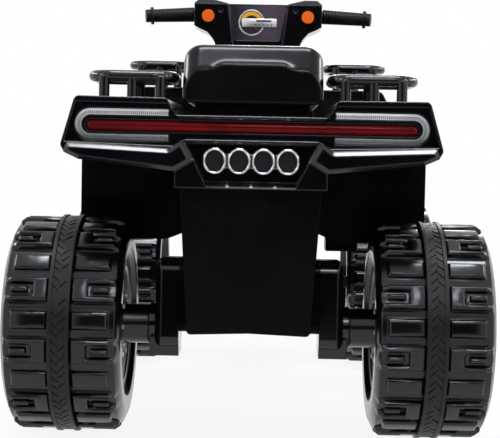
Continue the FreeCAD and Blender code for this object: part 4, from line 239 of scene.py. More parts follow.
def choose_faces(piece, test):
    """Selects the faces whose centre and normal pass a test, and opens the piece in face mode."""
    bpy.ops.object.mode_set(mode="OBJECT")
    for edge in piece.data.edges:
        edge.select = False
    for vertex in piece.data.vertices:
        vertex.select = False
    for face in piece.data.polygons:
        face.select = test(face.center, face.normal)
    bpy.ops.object.mode_set(mode="EDIT")
    bpy.ops.mesh.select_mode(type="FACE")


def cut_across(offsets, axis):
    """Cuts the open piece with planes at those offsets along an axis."""
    for offset in offsets:
        bpy.ops.mesh.select_all(action="SELECT")
        point = [offset if i == axis else 0.0 for i in range(3)]
        normal = [1.0 if i == axis else 0.0 for i in range(3)]
        bpy.ops.mesh.bisect(plane_co=point, plane_no=normal)


def raise_blocks(height):
    """Raises the chosen faces as blocks with a little draft and a broad rounded shoulder."""
    for lean, rise in ((BLOCK_DRAFT, height - BLOCK_ROUND), (BLOCK_ROUND, BLOCK_ROUND)):
        bpy.ops.mesh.inset(thickness=lean, depth=rise, use_boundary=True, use_even_offset=True)


def only_piece(piece):
    """Goes back to object mode with one piece selected and active."""
    bpy.ops.object.mode_set(mode="OBJECT")
    bpy.ops.object.select_all(action="DESELECT")
    piece.select_set(True)
    bpy.context.view_layer.objects.active = piece


def finish_piece(piece, width, segments=2):
    """Rounds the edges of a piece, applies that, and smooths its shading up to an angle."""
    only_piece(piece)
    rounded = piece.modifiers.new("rounded edges", "BEVEL")
    rounded.width = width
    rounded.segments = segments
    rounded.limit_method = "ANGLE"
    rounded.angle_limit = EDGE_ANGLE
    bpy.ops.object.modifier_apply(modifier=rounded.name)
    bpy.ops.object.shade_smooth_by_angle(angle=SMOOTH_ANGLE)


def turn_round(point):
    """How far round the axle a point lies, in steps of the tread."""
    return math.atan2(-point.y, point.z) / math.tau * PITCHES * STEPS


def step_round(centre):
    """The step round the wheel that a face lies on, counted from the start of a clawed block."""
    return (math.floor(turn_round(centre)) + CLAW_OFFSET) % STEPS


def on_tread(centre):
    """Whether a face lies on the tread, and not on the shoulder or the sides."""
    return math.hypot(centre.y, centre.z) > TREAD_RADIUS - TREAD_MARGIN


def is_claw(centre, normal):
    """Blocks next to the strip, their two prongs, and the bar in the slot."""
    out, step = abs(centre.x), step_round(centre)
    if not on_tread(centre) or out < STRIP_HALF or step >= CLAW_STEPS:
        return False
    if out < SLOT_START or step in PRONG_STEPS:
        return True
    return BAR_START < out < BAR_END and step in BAR_STEPS


def is_cross(centre, normal):
    """The tapered blocks between two clawed ones."""
    in_step = CROSS_FIRST <= step_round(centre) < CROSS_LAST
    return on_tread(centre) and STRIP_HALF < abs(centre.x) < CROSS_END and in_step


def cap_move(distance, scale):
    """Extrudes the chosen cap along the axle and scales its new ring about the axle."""
    bpy.ops.mesh.extrude_region_move(TRANSFORM_OT_translate={"value": (distance, 0, 0)})
    bpy.ops.transform.resize(value=(1, scale, scale), center_override=(0, 0, 0))


def cap_steps(side, stations):
    """Carries a cap through stations of (distance out along the axle, radius)."""
    for (x0, r0), (x1, r1) in zip(stations, stations[1:]):
        cap_move(side * (x1 - x0), r1 / r0)


def model_wheel(name, inner_side):
    """A wheel about the origin: the tread is cut and raised, and each side drawn in as a dished cap."""
    bpy.ops.object.select_all(action="DESELECT")
    bpy.ops.mesh.primitive_cylinder_add(
        vertices=PITCHES * STEPS, radius=TREAD_RADIUS, depth=2 * TREAD_HALF, rotation=(0, math.pi / 2, 0)
    )
    wheel = start_piece(name)
    bpy.ops.object.mode_set(mode="EDIT")
    for cut in (STRIP_HALF, SLOT_START, BAR_START, BAR_END):
        cut_across((cut, -cut), 0)
    shoulder = [(TREAD_HALF, TREAD_RADIUS), (WHEEL_HALF, SHOULDER_RADIUS), (WHEEL_HALF, RIM_RADIUS)]
    for side, disc in ((1, DEEP_DISH), (-1, inner_side)):
        choose_faces(wheel, lambda centre, normal: normal.x * side > FACING)
        cap_steps(side, shoulder + disc)
    choose_faces(wheel, lambda centre, normal: math.hypot(centre.y, centre.z) < BORE_RADIUS / 2)
    bpy.ops.mesh.bridge_edge_loops()
    choose_faces(wheel, is_claw)
    raise_blocks(LUG_HEIGHT)
    choose_faces(wheel, is_cross)
    raise_blocks(CROSS_HEIGHT)
    bpy.ops.object.mode_set(mode="OBJECT")
    raised = TREAD_RADIUS + CROSS_HEIGHT * RAISED_SHARE
    for vertex in wheel.data.vertices:
        reach = math.hypot(vertex.co.y, vertex.co.z)
        if reach > raised and abs(vertex.co.x) > BAR_END + END_MARGIN:
            lowered = (TREAD_RADIUS + LUG_HEIGHT * LUG_END_SHARE) / reach
            vertex.co.y *= lowered
            vertex.co.z *= lowered
        if reach > raised and CROSS_END - CROSS_TIP_RUN < abs(vertex.co.x) < CROSS_END:
            turn = turn_round(vertex.co)
            place = (turn + CLAW_OFFSET) % STEPS
            if CROSS_FIRST < place < CROSS_LAST:
                moved = (turn + (CROSS_MIDDLE - place) * CROSS_TAPER) / (PITCHES * STEPS) * math.tau
                vertex.co.y = -math.sin(moved) * reach
                vertex.co.z = math.cos(moved) * reach
    finish_piece(wheel, MOULD_RADIUS)
    bpy.ops.object.mode_set(mode="EDIT")
    bpy.ops.mesh.select_all(action="SELECT")
    bpy.ops.mesh.remove_doubles(threshold=CLOSEST_POINTS)
    bpy.ops.object.mode_set(mode="OBJECT")
    return wheel


def set_copy(master, name, x, y, z, turned):
    """A copy with a mesh of its own, turned half round the upright if need be and put in place."""
    copy = master.copy()
    copy.data = master.data.copy()
    copy.name = name
    copy.data.name = name
    scene.collection.objects.link(copy)
    only_piece(copy)
    copy.location = (x, y, z)
    copy.rotation_euler = (0, 0, math.pi if turned else 0)
    bpy.ops.object.transform_apply(location=True, rotation=True, scale=True)
    return copy


DEEP_DISH = [
    (DISH_FLOOR, DISH_RADIUS),
    (DISH_FLOOR, HUB_RADIUS),
    (HUB_FACE, HUB_RADIUS * HUB_DRAFT_SHARE),
    (HUB_FACE, BORE_RADIUS),
    (DISH_FLOOR, BORE_RADIUS),
]
SLEEVED_DISC = [
    (DISC_FLOOR, DISH_RADIUS),
    (DISC_FLOOR, RING_OUTER),
    (DISC_FLOOR - RING_STEP, RING_OUTER - RING_STEP),
    (DISC_FLOOR - RING_STEP, RING_INNER + RING_STEP),
    (DISC_FLOOR, RING_INNER),
    (DISC_FLOOR, HUB_RADIUS),
    (SLEEVE_END, HUB_RADIUS),
    (SLEEVE_END, BORE_RADIUS),
    (DISC_FLOOR, BORE_RADIUS),
]
wheel_black = moulded(
    "wheel moulding", (0.0014, 0.0014, 0.0017), (0.003, 0.003, 0.0034), (0.14, 0.22), 700.0, 0.00012,
    0.002, shine=0.46,
)
WHEELS = {
    "rear_left": (-0.245, -0.360),
    "rear_right": (0.245, -0.360),
    "front_left": (-0.245, 0.280),
    "front_right": (0.245, 0.280),
}
wheel_masters = {
    "rear": model_wheel("rear_wheel_master", SLEEVED_DISC),
    "front": model_wheel("front_wheel_master", DEEP_DISH),
}
for master in wheel_masters.values():
    master.data.materials.append(wheel_black)
for corner, (x, y) in WHEELS.items():
    master = wheel_masters[corner.split("_")[0]]
    tyre = set_copy(master, f"{corner}_moulded_wheel", x, y, AXLE_HEIGHT, x < 0)
    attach(tyre, f"{corner}_wheel")
    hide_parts(f"{corner}_wheel")
for master in wheel_masters.values():
    bpy.data.objects.remove(master)
cover_black = moulded(
    "wheel cover moulding", (0.006, 0.006, 0.0065), (0.0105, 0.0105, 0.011), (0.26, 0.36), 500.0, 0.0002,
    0.002, shine=0.3,
)
dress(cover_black, *[f"{corner}_wheel_cover" for corner in WHEELS])


# Hub bolts: eight small zinc-plated socket bolts round the sleeve of each rear wheel, on its inner
# disc, that hold the sleeve's flange. One is turned and copied round the axle.

BOLT_COUNT = 8
BOLT_CIRCLE = 0.038
BOLT_RADIUS = 0.0038
BOLT_RISE = 0.0032
BOLT_SIDES = 18
SOCKET_WALL_SHARE, SOCKET_DEPTH_SHARE = 0.45, 0.6
BOLT_ROUND = 0.0004
MERGE_DISTANCE = 0.00002


def model_bolts():
    """One socket bolt on the wheel's inner disc, copied round the axle."""
    bpy.ops.object.select_all(action="DESELECT")
    bpy.ops.mesh.primitive_cylinder_add(
        vertices=BOLT_SIDES, radius=BOLT_RADIUS, depth=BOLT_RISE, rotation=(0, math.pi / 2, 0),
        location=(-DISC_FLOOR - BOLT_RISE / 2, 0, BOLT_CIRCLE),
    )
    bolts = start_piece("bolt_master")
    choose_faces(bolts, lambda centre, normal: normal.x < -FACING)
    bpy.ops.mesh.inset(thickness=BOLT_RADIUS * SOCKET_WALL_SHARE)
    socket = BOLT_RISE * SOCKET_DEPTH_SHARE
    bpy.ops.mesh.extrude_region_move(TRANSFORM_OT_translate={"value": (socket, 0, 0)})
    finish_piece(bolts, BOLT_ROUND, 1)
    bpy.ops.object.mode_set(mode="EDIT")
    bpy.ops.mesh.select_all(action="SELECT")
    bpy.ops.mesh.spin(steps=BOLT_COUNT, dupli=True, angle=math.tau, center=(0, 0, 0), axis=(1, 0, 0))
    bpy.ops.mesh.select_all(action="SELECT")
    bpy.ops.mesh.remove_doubles(threshold=MERGE_DISTANCE)
    bpy.ops.mesh.normals_make_consistent(inside=False)
    bpy.ops.object.mode_set(mode="OBJECT")
    bolts.data.materials.append(zinc)
    return bolts


bolt_master = model_bolts()
for corner in ("rear_left", "rear_right"):
    x, y = WHEELS[corner]
    bolts = set_copy(bolt_master, f"{corner}_hub_bolts", x, y, AXLE_HEIGHT, x < 0)
    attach(bolts, f"{corner}_wheel")
bpy.data.objects.remove(bolt_master)


# Traction bands: a black rubber hoop let into the strip round each tread. It has a smooth rib along
# each edge, and between them slanted slits that reach the middle from either side in turn.

BAND_HALF = 0.014
BAND_SEAT = 0.1383
BAND_FLOOR = 0.1485
BAND_TOP = 0.150
RIB_START = 0.009
SLIT_DEPTH = 0.0015
BAND_PITCHES = 75
BAND_STEPS = 6
SLIT_SLANT = 0.055
BAND_ROUND = 0.0003


def set_reach(band, reach):
    """Extrudes what is chosen and brings its new edge or face to that distance from the axle."""
    bpy.ops.mesh.extrude_region_move(TRANSFORM_OT_translate={"value": (0, 0, 0)})
    bpy.ops.object.mode_set(mode="OBJECT")
    for vertex in band.data.vertices:
        if vertex.select:
            scale = reach / math.hypot(vertex.co.y, vertex.co.z)
            vertex.co.y *= scale
            vertex.co.z *= scale


def model_band():
    """A band about the origin: slits pressed in, ribs raised, and the inside closed at its seat."""
    around = BAND_PITCHES * BAND_STEPS
    bpy.ops.object.select_all(action="DESELECT")
    bpy.ops.mesh.primitive_cylinder_add(
        vertices=around, radius=BAND_FLOOR, depth=2 * BAND_HALF, end_fill_type="NOTHING",
        rotation=(0, math.pi / 2, 0),
    )
    band = start_piece("band_master")
    bpy.ops.object.mode_set(mode="EDIT")
    cut_across((RIB_START, -RIB_START, 0.0), 0)
    bpy.ops.object.mode_set(mode="OBJECT")

    def slant_at(x):
        return SLIT_SLANT * min(abs(x), RIB_START) / RIB_START

    for vertex in band.data.vertices:
        reach = math.hypot(vertex.co.y, vertex.co.z)
        angle = math.atan2(-vertex.co.y, vertex.co.z) + slant_at(vertex.co.x)
        vertex.co.y = -math.sin(angle) * reach
        vertex.co.z = math.cos(angle) * reach

    def is_slit(centre, normal):
        angle = math.atan2(-centre.y, centre.z) - slant_at(centre.x)
        step = math.floor(angle / math.tau * around) % BAND_STEPS
        return abs(centre.x) < RIB_START and step == (0 if centre.x > 0 else BAND_STEPS // 2)

    choose_faces(band, is_slit)
    set_reach(band, BAND_FLOOR - SLIT_DEPTH)
    choose_faces(band, lambda centre, normal: abs(centre.x) > RIB_START)
    set_reach(band, BAND_TOP)
    bpy.ops.object.mode_set(mode="EDIT")
    bpy.ops.mesh.select_mode(type="EDGE")
    bpy.ops.mesh.select_all(action="DESELECT")
    bpy.ops.mesh.select_non_manifold()
    set_reach(band, BAND_SEAT)
    bpy.ops.object.mode_set(mode="EDIT")
    bpy.ops.mesh.bridge_edge_loops()
    bpy.ops.mesh.select_all(action="SELECT")
    bpy.ops.mesh.normals_make_consistent(inside=False)
    finish_piece(band, BAND_ROUND, 1)
    return band


tyre_rubber = moulded(
    "traction rubber", (0.005, 0.0049, 0.0049), (0.0088, 0.0085, 0.0085), (0.36, 0.5), 1400.0, 0.00012,
    0.0008, shine=0.25,
)
band_master = model_band()
band_master.data.materials.append(tyre_rubber)
for corner, (x, y) in WHEELS.items():
    hoop = set_copy(band_master, f"{corner}_tread_hoop", x, y, AXLE_HEIGHT, x < 0)
    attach(hoop, f"{corner}_wheel")
    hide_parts(f"{corner}_traction_band")
bpy.data.objects.remove(band_master)


# Fenders, tank cover, light bezel, gearboxes, switches and racks: thick gloss black mouldings, polished
# in the tool, with a slight ripple in what they reflect. They are screwed to the tub.

gloss_black = moulded(
    "gloss black moulding", (0.002, 0.002, 0.0025), (0.0034, 0.0034, 0.004), (0.07, 0.13), 60.0, 0.0002,
    0.003, coat=0.08, shine=0.44,
)
dress(gloss_black, "rear_fender", "front_fender", "tank_cover", "light_bezel")
dress(gloss_black, "left_gearbox", "right_gearbox", "power_switch", "direction_switch")
dress(gloss_black, "left_rear_rack", "right_rear_rack", "left_front_rack", "right_front_rack")


# Rear lights: a rounded dark red acrylic bar across the tail, lit only by what falls on it, and a clear
# acrylic guide bent round each end of it, with fine ticks along its face. Both are set in the bezel.

red_acrylic = moulded(
    "red acrylic", (0.055, 0.001, 0.002), (0.15, 0.002, 0.004), (0.08, 0.14), 90.0, 0.0002, 0.0012,
    coat=0.04, shine=0.08,
)
LENS_BULGE = 0.006
LENS_SIDES, LENS_RINGS = 40, 25


def model_lens(name):
    """A ball drawn out sideways to the length of the bar and flattened to its depth."""
    low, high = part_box("tail_light_bar")
    radius = (high[2] - low[2]) / 2
    run = (high[0] - low[0]) / 2 - radius
    middle = (high[2] + low[2]) / 2
    bpy.ops.object.select_all(action="DESELECT")
    bpy.ops.mesh.primitive_uv_sphere_add(
        segments=LENS_SIDES, ring_count=LENS_RINGS, radius=1, rotation=(0, math.pi / 2, 0)
    )
    lens = start_piece(name)
    for vertex in lens.data.vertices:
        along = vertex.co.x * radius + math.copysign(run, vertex.co.x)
        back = low[1] + LENS_BULGE * (1 + vertex.co.y)
        vertex.co = (along, back, middle + vertex.co.z * radius)
    lens.data.materials.append(red_acrylic)
    bpy.ops.object.shade_smooth_by_angle(angle=SMOOTH_ANGLE)
    return lens


tail_lens = model_lens("tail_light_lens")
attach(tail_lens, "chassis")
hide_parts("tail_light_bar")

GUIDE_START, GUIDE_BEND = 0.108, 0.2085
GUIDE_HEIGHT = 0.4245
GUIDE_RADIUS = 0.0165
GUIDE_THICK = 0.008
GUIDE_BULGE = 0.0014
GUIDE_BACK = 0.003
GUIDE_LEAN = 0.0036
GUIDE_SHADE = 0.42
TICKS_ALONG, STRIPS_ACROSS = 96, 8
TICK_MIDDLE, TICK_HALF, TICK_DEPTH = -0.25, 0.4, 0.5
TICK_FLOOR = -0.4

clear_acrylic = moulded(
    "clear acrylic", (0.46, 0.47, 0.5), (0.76, 0.77, 0.8), (0.12, 0.24), 300.0, 0.0004, 0.0006,
    coat=0.3, shine=0.5,
)


def shade_down(material):
    """Darkens a finish towards the lower arm of the guide, which the lip below keeps in shade."""
    surface = material.node_tree.nodes["Principled BSDF"]
    tone = surface.inputs["Base Color"].links[0].from_node
    place = shader_node(material, "ShaderNodeTexCoord")
    split = shader_node(material, "ShaderNodeSeparateXYZ")
    join(material, place, "Object", split, "Vector")
    fall = shader_node(material, "ShaderNodeMapRange")
    fall.inputs["From Min"].default_value = GUIDE_HEIGHT - GUIDE_RADIUS
    fall.inputs["From Max"].default_value = GUIDE_HEIGHT + GUIDE_RADIUS
    fall.inputs["To Min"].default_value = GUIDE_SHADE
    join(material, split, "Z", fall, "Value")
    shade = shader_node(material, "ShaderNodeMixRGB", Fac=1.0)
    shade.blend_type = "MULTIPLY"
    join(material, tone, "Color", shade, "Color1")
    join(material, fall, "Result", shade, "Color2")
    join(material, shade, "Color", surface, "Base Color")


shade_down(clear_acrylic)
# Painted shade: the floors of the pressed-in ticks take this darker grey, standing in for the shade in
# the grooves.
tick_floor_shade = moulded(
    "tick floors with painted shade", (0.05, 0.05, 0.06), (0.1, 0.1, 0.115), (0.25, 0.35), 600.0, 0.0002, 0.0003
)


def guide_point(along, across):
    """A point on the guide's face: how far along the bent strip, and how far across it."""
    arm = GUIDE_BEND - GUIDE_START
    bend = math.pi * GUIDE_RADIUS
    run = along * (2 * arm + bend)
    reach = GUIDE_RADIUS + across * GUIDE_THICK / 2
    if run < arm:
        return GUIDE_START + run, GUIDE_HEIGHT + reach
    if run > arm + bend:
        return GUIDE_START + (2 * arm + bend - run), GUIDE_HEIGHT - reach
    angle = (run - arm) / GUIDE_RADIUS
    return GUIDE_BEND + math.sin(angle) * reach, GUIDE_HEIGHT + math.cos(angle) * reach


def is_tick(centre, normal):
    """Every second column of the flat grid, on a strip along its width."""
    return abs(centre.y - TICK_MIDDLE) < TICK_HALF and math.floor((centre.x + 1) * TICKS_ALONG) % 2 == 0


def model_guide(name, face):
    """A flat grid with ticks pressed in, bent to the guide's course, backed and mirrored."""
    bpy.ops.object.select_all(action="DESELECT")
    bpy.ops.mesh.primitive_grid_add(x_subdivisions=TICKS_ALONG * 2, y_subdivisions=STRIPS_ACROSS, size=2)
    guide = start_piece(name)
    choose_faces(guide, is_tick)
    bpy.ops.mesh.extrude_region_move(TRANSFORM_OT_translate={"value": (0, 0, -TICK_DEPTH)})
    bpy.ops.object.mode_set(mode="OBJECT")
    guide.data.materials.append(clear_acrylic)
    guide.data.materials.append(tick_floor_shade)
    # Tick floors take the darker grey, as painted shade in the grooves.
    for facet in guide.data.polygons:
        facet.material_index = 1 if facet.center.z < TICK_FLOOR else 0
    for vertex in guide.data.vertices:
        along, across = (vertex.co.x + 1) / 2, vertex.co.y
        out, height = guide_point(along, across)
        rise = GUIDE_BULGE * (1 - across * across) + vertex.co.z * GUIDE_BULGE
        lower = min(1, max(0, (GUIDE_HEIGHT - height) / GUIDE_RADIUS))
        rise -= GUIDE_LEAN * lower * (across + 1) / 2
        vertex.co = (out, face - rise, height)
    only_piece(guide)
    bpy.ops.object.mode_set(mode="EDIT")
    bpy.ops.mesh.select_all(action="SELECT")
    bpy.ops.mesh.flip_normals()
    bpy.ops.mesh.extrude_region_move(TRANSFORM_OT_translate={"value": (0, GUIDE_BACK, 0)})
    bpy.ops.mesh.select_all(action="SELECT")
    bpy.ops.mesh.normals_make_consistent(inside=False)
    bpy.ops.object.mode_set(mode="OBJECT")
    twin = guide.modifiers.new("other side", "MIRROR")
    twin.use_mirror_merge = False
    bpy.ops.object.modifier_apply(modifier=twin.name)
    bpy.ops.object.shade_smooth_by_angle(angle=SMOOTH_ANGLE)
    return guide


guide_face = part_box("light_guides")[0][1] + GUIDE_BULGE
guides = model_guide("light_guide_strips", guide_face)
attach(guides, "chassis")
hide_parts("light_guides")


# Mock exhausts: plated plastic rings, joined by short links, with a rolled bead round each mouth and a
# dark mesh plate set in each. They are pressed into the recess of the rear fender.

chrome = plated_metal("plated trim", (0.62, 0.62, 0.64), (0.8, 0.8, 0.82), (0.06, 0.14), 80.0)
dress(chrome, "exhaust_trim")


def woven_mesh(name, dark, light, pitch):
    """A plate pressed with a fine diagonal mesh: raised wires over holes painted dark, as painted shade
    in the holes.
    """
    material = bpy.data.materials.new(name)
    material.use_nodes = True
    surface = material.node_tree.nodes["Principled BSDF"]
    place = shader_node(material, "ShaderNodeTexCoord")
    wires = []
    for turn in (45, -45):
        lay = shader_node(material, "ShaderNodeMapping", Rotation=(0, math.radians(turn), 0))
        join(material, place, "Object", lay, "Vector")
        wire = shader_node(material, "ShaderNodeTexWave", Scale=pitch, Distortion=1.2, Detail=1.0)
        wire.inputs["Detail Scale"].default_value = 0.6
        wire.bands_direction = "X"
        join(material, lay, "Vector", wire, "Vector")
        wires.append(wire)
    over = shader_node(material, "ShaderNodeMath")
    over.operation = "MAXIMUM"
    join(material, wires[0], "Fac", over, 0)
    join(material, wires[1], "Fac", over, 1)
    # Painted shade: the holes between the wires take the dark tone and the wires the light one.
    tone = tone_between(material, over, "Value", dark, light)
    join(material, tone, "Color", surface, "Base Color")
    gloss = between(material, over, "Value", 0.55, 0.35)
    join(material, gloss, "Result", surface, "Roughness")
    relief = shader_node(material, "ShaderNodeBump", Strength=0.6, Distance=0.0006)
    join(material, over, "Value", relief, "Height")
    join(material, relief, "Normal", surface, "Normal")
    surface.inputs["Specular IOR Level"].default_value = 0.2
    return material


RIM_PITCH = 0.0315
RIM_CENTRE = 0.380
RIM_HALF_WIDTH, RIM_HALF_TALL = 0.0132, 0.0152
RIM_BEAD = 0.0013
RIM_COUNT = 4
RIM_SIDES, BEAD_SIDES = 64, 14
BEAD_SINK_SHARE = 0.3


def model_rims(face):
    """The rolled bead round the mouth of each exhaust, drawn once and set out in a row."""
    first = (-(RIM_COUNT - 1) / 2 * RIM_PITCH, face, RIM_CENTRE)
    bpy.ops.object.select_all(action="DESELECT")
    bpy.ops.mesh.primitive_torus_add(
        major_segments=RIM_SIDES, minor_segments=BEAD_SIDES, major_radius=RIM_HALF_TALL,
        minor_radius=RIM_BEAD, location=first, rotation=(math.pi / 2, 0, 0),
    )
    rims = start_piece("exhaust_rolled_rims")
    bpy.ops.object.mode_set(mode="EDIT")
    bpy.ops.mesh.select_all(action="SELECT")
    bpy.ops.transform.resize(value=(RIM_HALF_WIDTH / RIM_HALF_TALL, 1, 1), center_override=first)
    only_piece(rims)
    row_of_rims = rims.modifiers.new("row of rims", "ARRAY")
    row_of_rims.count = RIM_COUNT
    row_of_rims.use_relative_offset = False
    row_of_rims.use_constant_offset = True
    row_of_rims.constant_offset_displace = (RIM_PITCH, 0, 0)
    bpy.ops.object.modifier_apply(modifier=row_of_rims.name)
    bpy.ops.object.shade_smooth()
    return rims


rims = model_rims(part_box("exhaust_trim")[0][1] + RIM_BEAD * BEAD_SINK_SHARE)
rims.data.materials.append(chrome)
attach(rims, "chassis")
mesh_dark = woven_mesh("mesh plate", (0.003, 0.0022, 0.004), (0.018, 0.012, 0.02), 120.0)
dress(mesh_dark, "exhaust_meshes")


# Seat: one hard gloss black moulding, crowned across and dipped in front of the rider, with a creased
# step round its tail. It lifts about a pin in front for the battery. Its solid is skinned and softened.

saddle_black = moulded(
    "saddle moulding", (0.0024, 0.0024, 0.003), (0.004, 0.004, 0.0046), (0.16, 0.24), 90.0, 0.0002,
    0.003, coat=0.06, shine=0.17,
)
SADDLE_VOXEL = 0.003
SOFT_STRENGTH, SOFT_ROUNDS = 0.5, 4


def model_saddle():
    """The seat's solid, merged, with every edge softened as a blow-moulded skin is."""
    saddle = bpy.data.objects.new("moulded_seat", nodes_of["seat"].data.copy())
    scene.collection.objects.link(saddle)
    only_piece(saddle)
    bpy.ops.object.mode_set(mode="EDIT")
    bpy.ops.mesh.select_all(action="SELECT")
    bpy.ops.mesh.remove_doubles(threshold=MERGE_DISTANCE)
    bpy.ops.object.mode_set(mode="OBJECT")
    skin = saddle.modifiers.new("skin", "REMESH")
    skin.mode = "VOXEL"
    skin.voxel_size = SADDLE_VOXEL
    bpy.ops.object.modifier_apply(modifier=skin.name)
    soft = saddle.modifiers.new("soft edges", "SMOOTH")
    soft.factor = SOFT_STRENGTH
    soft.iterations = SOFT_ROUNDS
    bpy.ops.object.modifier_apply(modifier=soft.name)
    bpy.ops.object.shade_smooth()
    saddle.data.materials.clear()
    return saddle


saddle = model_saddle()
saddle.data.materials.append(saddle_black)
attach(saddle, "seat")
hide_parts("seat")


# Handlebar: two gloss shells closed round the bar and screwed together, with a facet along the top of
# each pod, an orange push button in each pod, and ringed rubber grips pushed onto the bar.

orange_button = moulded(
    "orange button", (0.62, 0.098, 0.007), (0.72, 0.125, 0.01), (0.25, 0.36), 300.0, 0.0001, 0.001,
    coat=0.15,
)
dress(gloss_black, "handlebar_cowl", "handlebar_cover")
dress(orange_button, "left_button", "right_button")


def ringed_rubber(name, dark, light, rings):
    """Soft black rubber with fine rings turned round the bar."""
    material = moulded(name, dark, light, (0.36, 0.5), 1400.0, 0.00012, 0.0008, shine=0.15)
    surface = material.node_tree.nodes["Principled BSDF"]
    place = shader_node(material, "ShaderNodeTexCoord")
    ring = shader_node(material, "ShaderNodeTexWave", Scale=rings, Distortion=0.0, Detail=0.0)
    ring.bands_direction = "X"
    join(material, place, "Object", ring, "Vector")
    relief = shader_node(material, "ShaderNodeBump", Strength=0.5, Distance=0.0008)
    grain = surface.inputs["Normal"].links[0].from_node
    join(material, ring, "Fac", relief, "Height")
    join(material, grain, "Normal", relief, "Normal")
    join(material, relief, "Normal", surface, "Normal")
    return material


grip_rubber = ringed_rubber("grip rubber", (0.0028, 0.0028, 0.0028), (0.005, 0.005, 0.0048), 62.0)
dress(grip_rubber, "handlebar_grips")


# Dash panel: a thin printed plate in the cowl, dark plum with a sheen, under a plain dial and a silver
# display strip. The dial has a ring, an amber arc, ticks and a needle; nothing on it is written.

dash_low, dash_high = [Vector(corner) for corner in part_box("dash_panel")]
DASH_FACE = dash_low.y
DIAL_X, DIAL_Z = -0.011, (dash_low.z + dash_high.z) / 2
DIAL_RADIUS, DIAL_RING = 0.0225, 0.0026
PRINT_THICK = 0.0005
DIAL_SIDES, DIAL_SINK_SHARE = 64, 0.4
ARC_SIDES, ARC_GAP_SHARE, ARC_RISE_SHARE = 48, 1.4, 0.3
ARC_WIDTH, ARC_FOOT, ARC_CENTRE = 0.0065, 0.003, 0.002
TICK_LOW, TICK_HIGH, TICK_EDGE = (-0.0004, 0.0115), (0.0004, 0.016), 0.0001
TICK_COUNT, TICK_SPREAD = 8, math.radians(144)
NEEDLE_LOW, NEEDLE_HIGH = (-0.0008, -0.0165), (0.0008, -0.005)
NEEDLE_TIP_SHARE, NEEDLE_TURN = 0.35, math.radians(40)
STRIP_LOW, STRIP_HIGH = (-0.0165, -0.0075), (0.043, 0.007)
READOUT_LOW, READOUT_HIGH = (0.008, 0.0016), (0.034, 0.0046)
KEY_LOW, KEY_HIGH = (0.006, -0.0046), (0.0082, -0.0028)
KEY_COUNT, KEY_PITCH = 5, 0.0068
PRINT_ROUND, KEY_ROUND = PRINT_THICK * 0.4, PRINT_THICK * 0.3
DIAL_MIDDLE = (DIAL_X, DASH_FACE, DIAL_Z)


def plum_print(name, dark, light):
    """A printed plate that runs from dark to light across its width, with a fine screen grain."""
    material = bpy.data.materials.new(name)
    material.use_nodes = True
    surface = material.node_tree.nodes["Principled BSDF"]
    place = shader_node(material, "ShaderNodeTexCoord")
    spread = shader_node(material, "ShaderNodeMapping", Location=(0.5, 0, 0), Scale=(8.0, 1.0, 1.0))
    join(material, place, "Object", spread, "Vector")
    fade = shader_node(material, "ShaderNodeTexGradient")
    join(material, spread, "Vector", fade, "Vector")
    screen = shader_node(material, "ShaderNodeTexNoise", Scale=1800.0, Detail=1.0)
    join(material, place, "Object", screen, "Vector")
    blend = shader_node(material, "ShaderNodeMath")
    blend.operation = "MULTIPLY_ADD"
    blend.inputs[1].default_value = 0.25
    join(material, screen, "Fac", blend, 0)
    join(material, fade, "Fac", blend, 2)
    tone = tone_between(material, blend, "Value", dark, light)
    join(material, tone, "Color", surface, "Base Color")
    gloss = between(material, screen, "Fac", 0.2, 0.32)
    join(material, gloss, "Result", surface, "Roughness")
    return material


def printed(piece, material):
    """Puts a print on the dash: it rides with the handlebar and takes the print's finish."""
    piece.data.materials.append(material)
    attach(piece, "handlebar")


def flat_disc(name, radius, sides, layer):
    """A thin disc on the dash, facing the rider, on its own layer of print."""
    bpy.ops.object.select_all(action="DESELECT")
    bpy.ops.mesh.primitive_cylinder_add(
        vertices=sides, radius=radius, depth=PRINT_THICK, rotation=(math.pi / 2, 0, 0),
        location=(DIAL_X, DASH_FACE - PRINT_THICK * (layer + 0.5), DIAL_Z),
    )
    return start_piece(name)


def flat_block(name, low, high, layer):
    """A thin oblong on the dash between two corners measured from the dial's middle."""
    bpy.ops.object.select_all(action="DESELECT")
    middle = ((low[0] + high[0]) / 2, (low[1] + high[1]) / 2)
    back = DASH_FACE - PRINT_THICK * (layer + 0.5)
    bpy.ops.mesh.primitive_cube_add(
        size=1, location=(DIAL_X + middle[0], back, DIAL_Z + middle[1]),
        scale=(high[0] - low[0], PRINT_THICK, high[1] - low[1]),
    )
    return start_piece(name)


def from_dial(centre):
    """How far across and up a point lies from the dial's middle."""
    return centre.x - DIAL_X, centre.z - DIAL_Z


silver_print = plated_metal("silver print", (0.55, 0.55, 0.57), (0.72, 0.72, 0.74), (0.3, 0.4), 300.0)
PRINT_FINISH = ((0.35, 0.45), 600.0, 0.0001, 0.0002)
amber_print = moulded("amber print", (0.6, 0.3, 0.02), (0.72, 0.38, 0.03), *PRINT_FINISH)
dial_dark = moulded("dial print", (0.012, 0.01, 0.016), (0.022, 0.018, 0.028), *PRINT_FINISH)
needle_red = moulded("needle print", (0.5, 0.02, 0.03), (0.6, 0.03, 0.04), *PRINT_FINISH)
dash_print = plum_print("dash print", (0.014, 0.010, 0.017), (0.06, 0.043, 0.068))
dress(dash_print, "dash_panel")


def faces_rider(centre, normal):
    """Whether a face of the dash looks back at the rider."""
    return normal.y < -FACING


dial = flat_disc("dial_face", DIAL_RADIUS, DIAL_SIDES, layer=0)
choose_faces(dial, faces_rider)
bpy.ops.mesh.inset(thickness=DIAL_RING)
bpy.ops.mesh.extrude_region_move(
    TRANSFORM_OT_translate={"value": (0, PRINT_THICK * DIAL_SINK_SHARE, 0)}
)
only_piece(dial)
printed(dial, silver_print)
dial.data.materials.append(dial_dark)
for face in dial.data.polygons:
    inner = math.hypot(*from_dial(face.center)) < DIAL_RING
    face.material_index = 1 if faces_rider(face.center, face.normal) and inner else 0


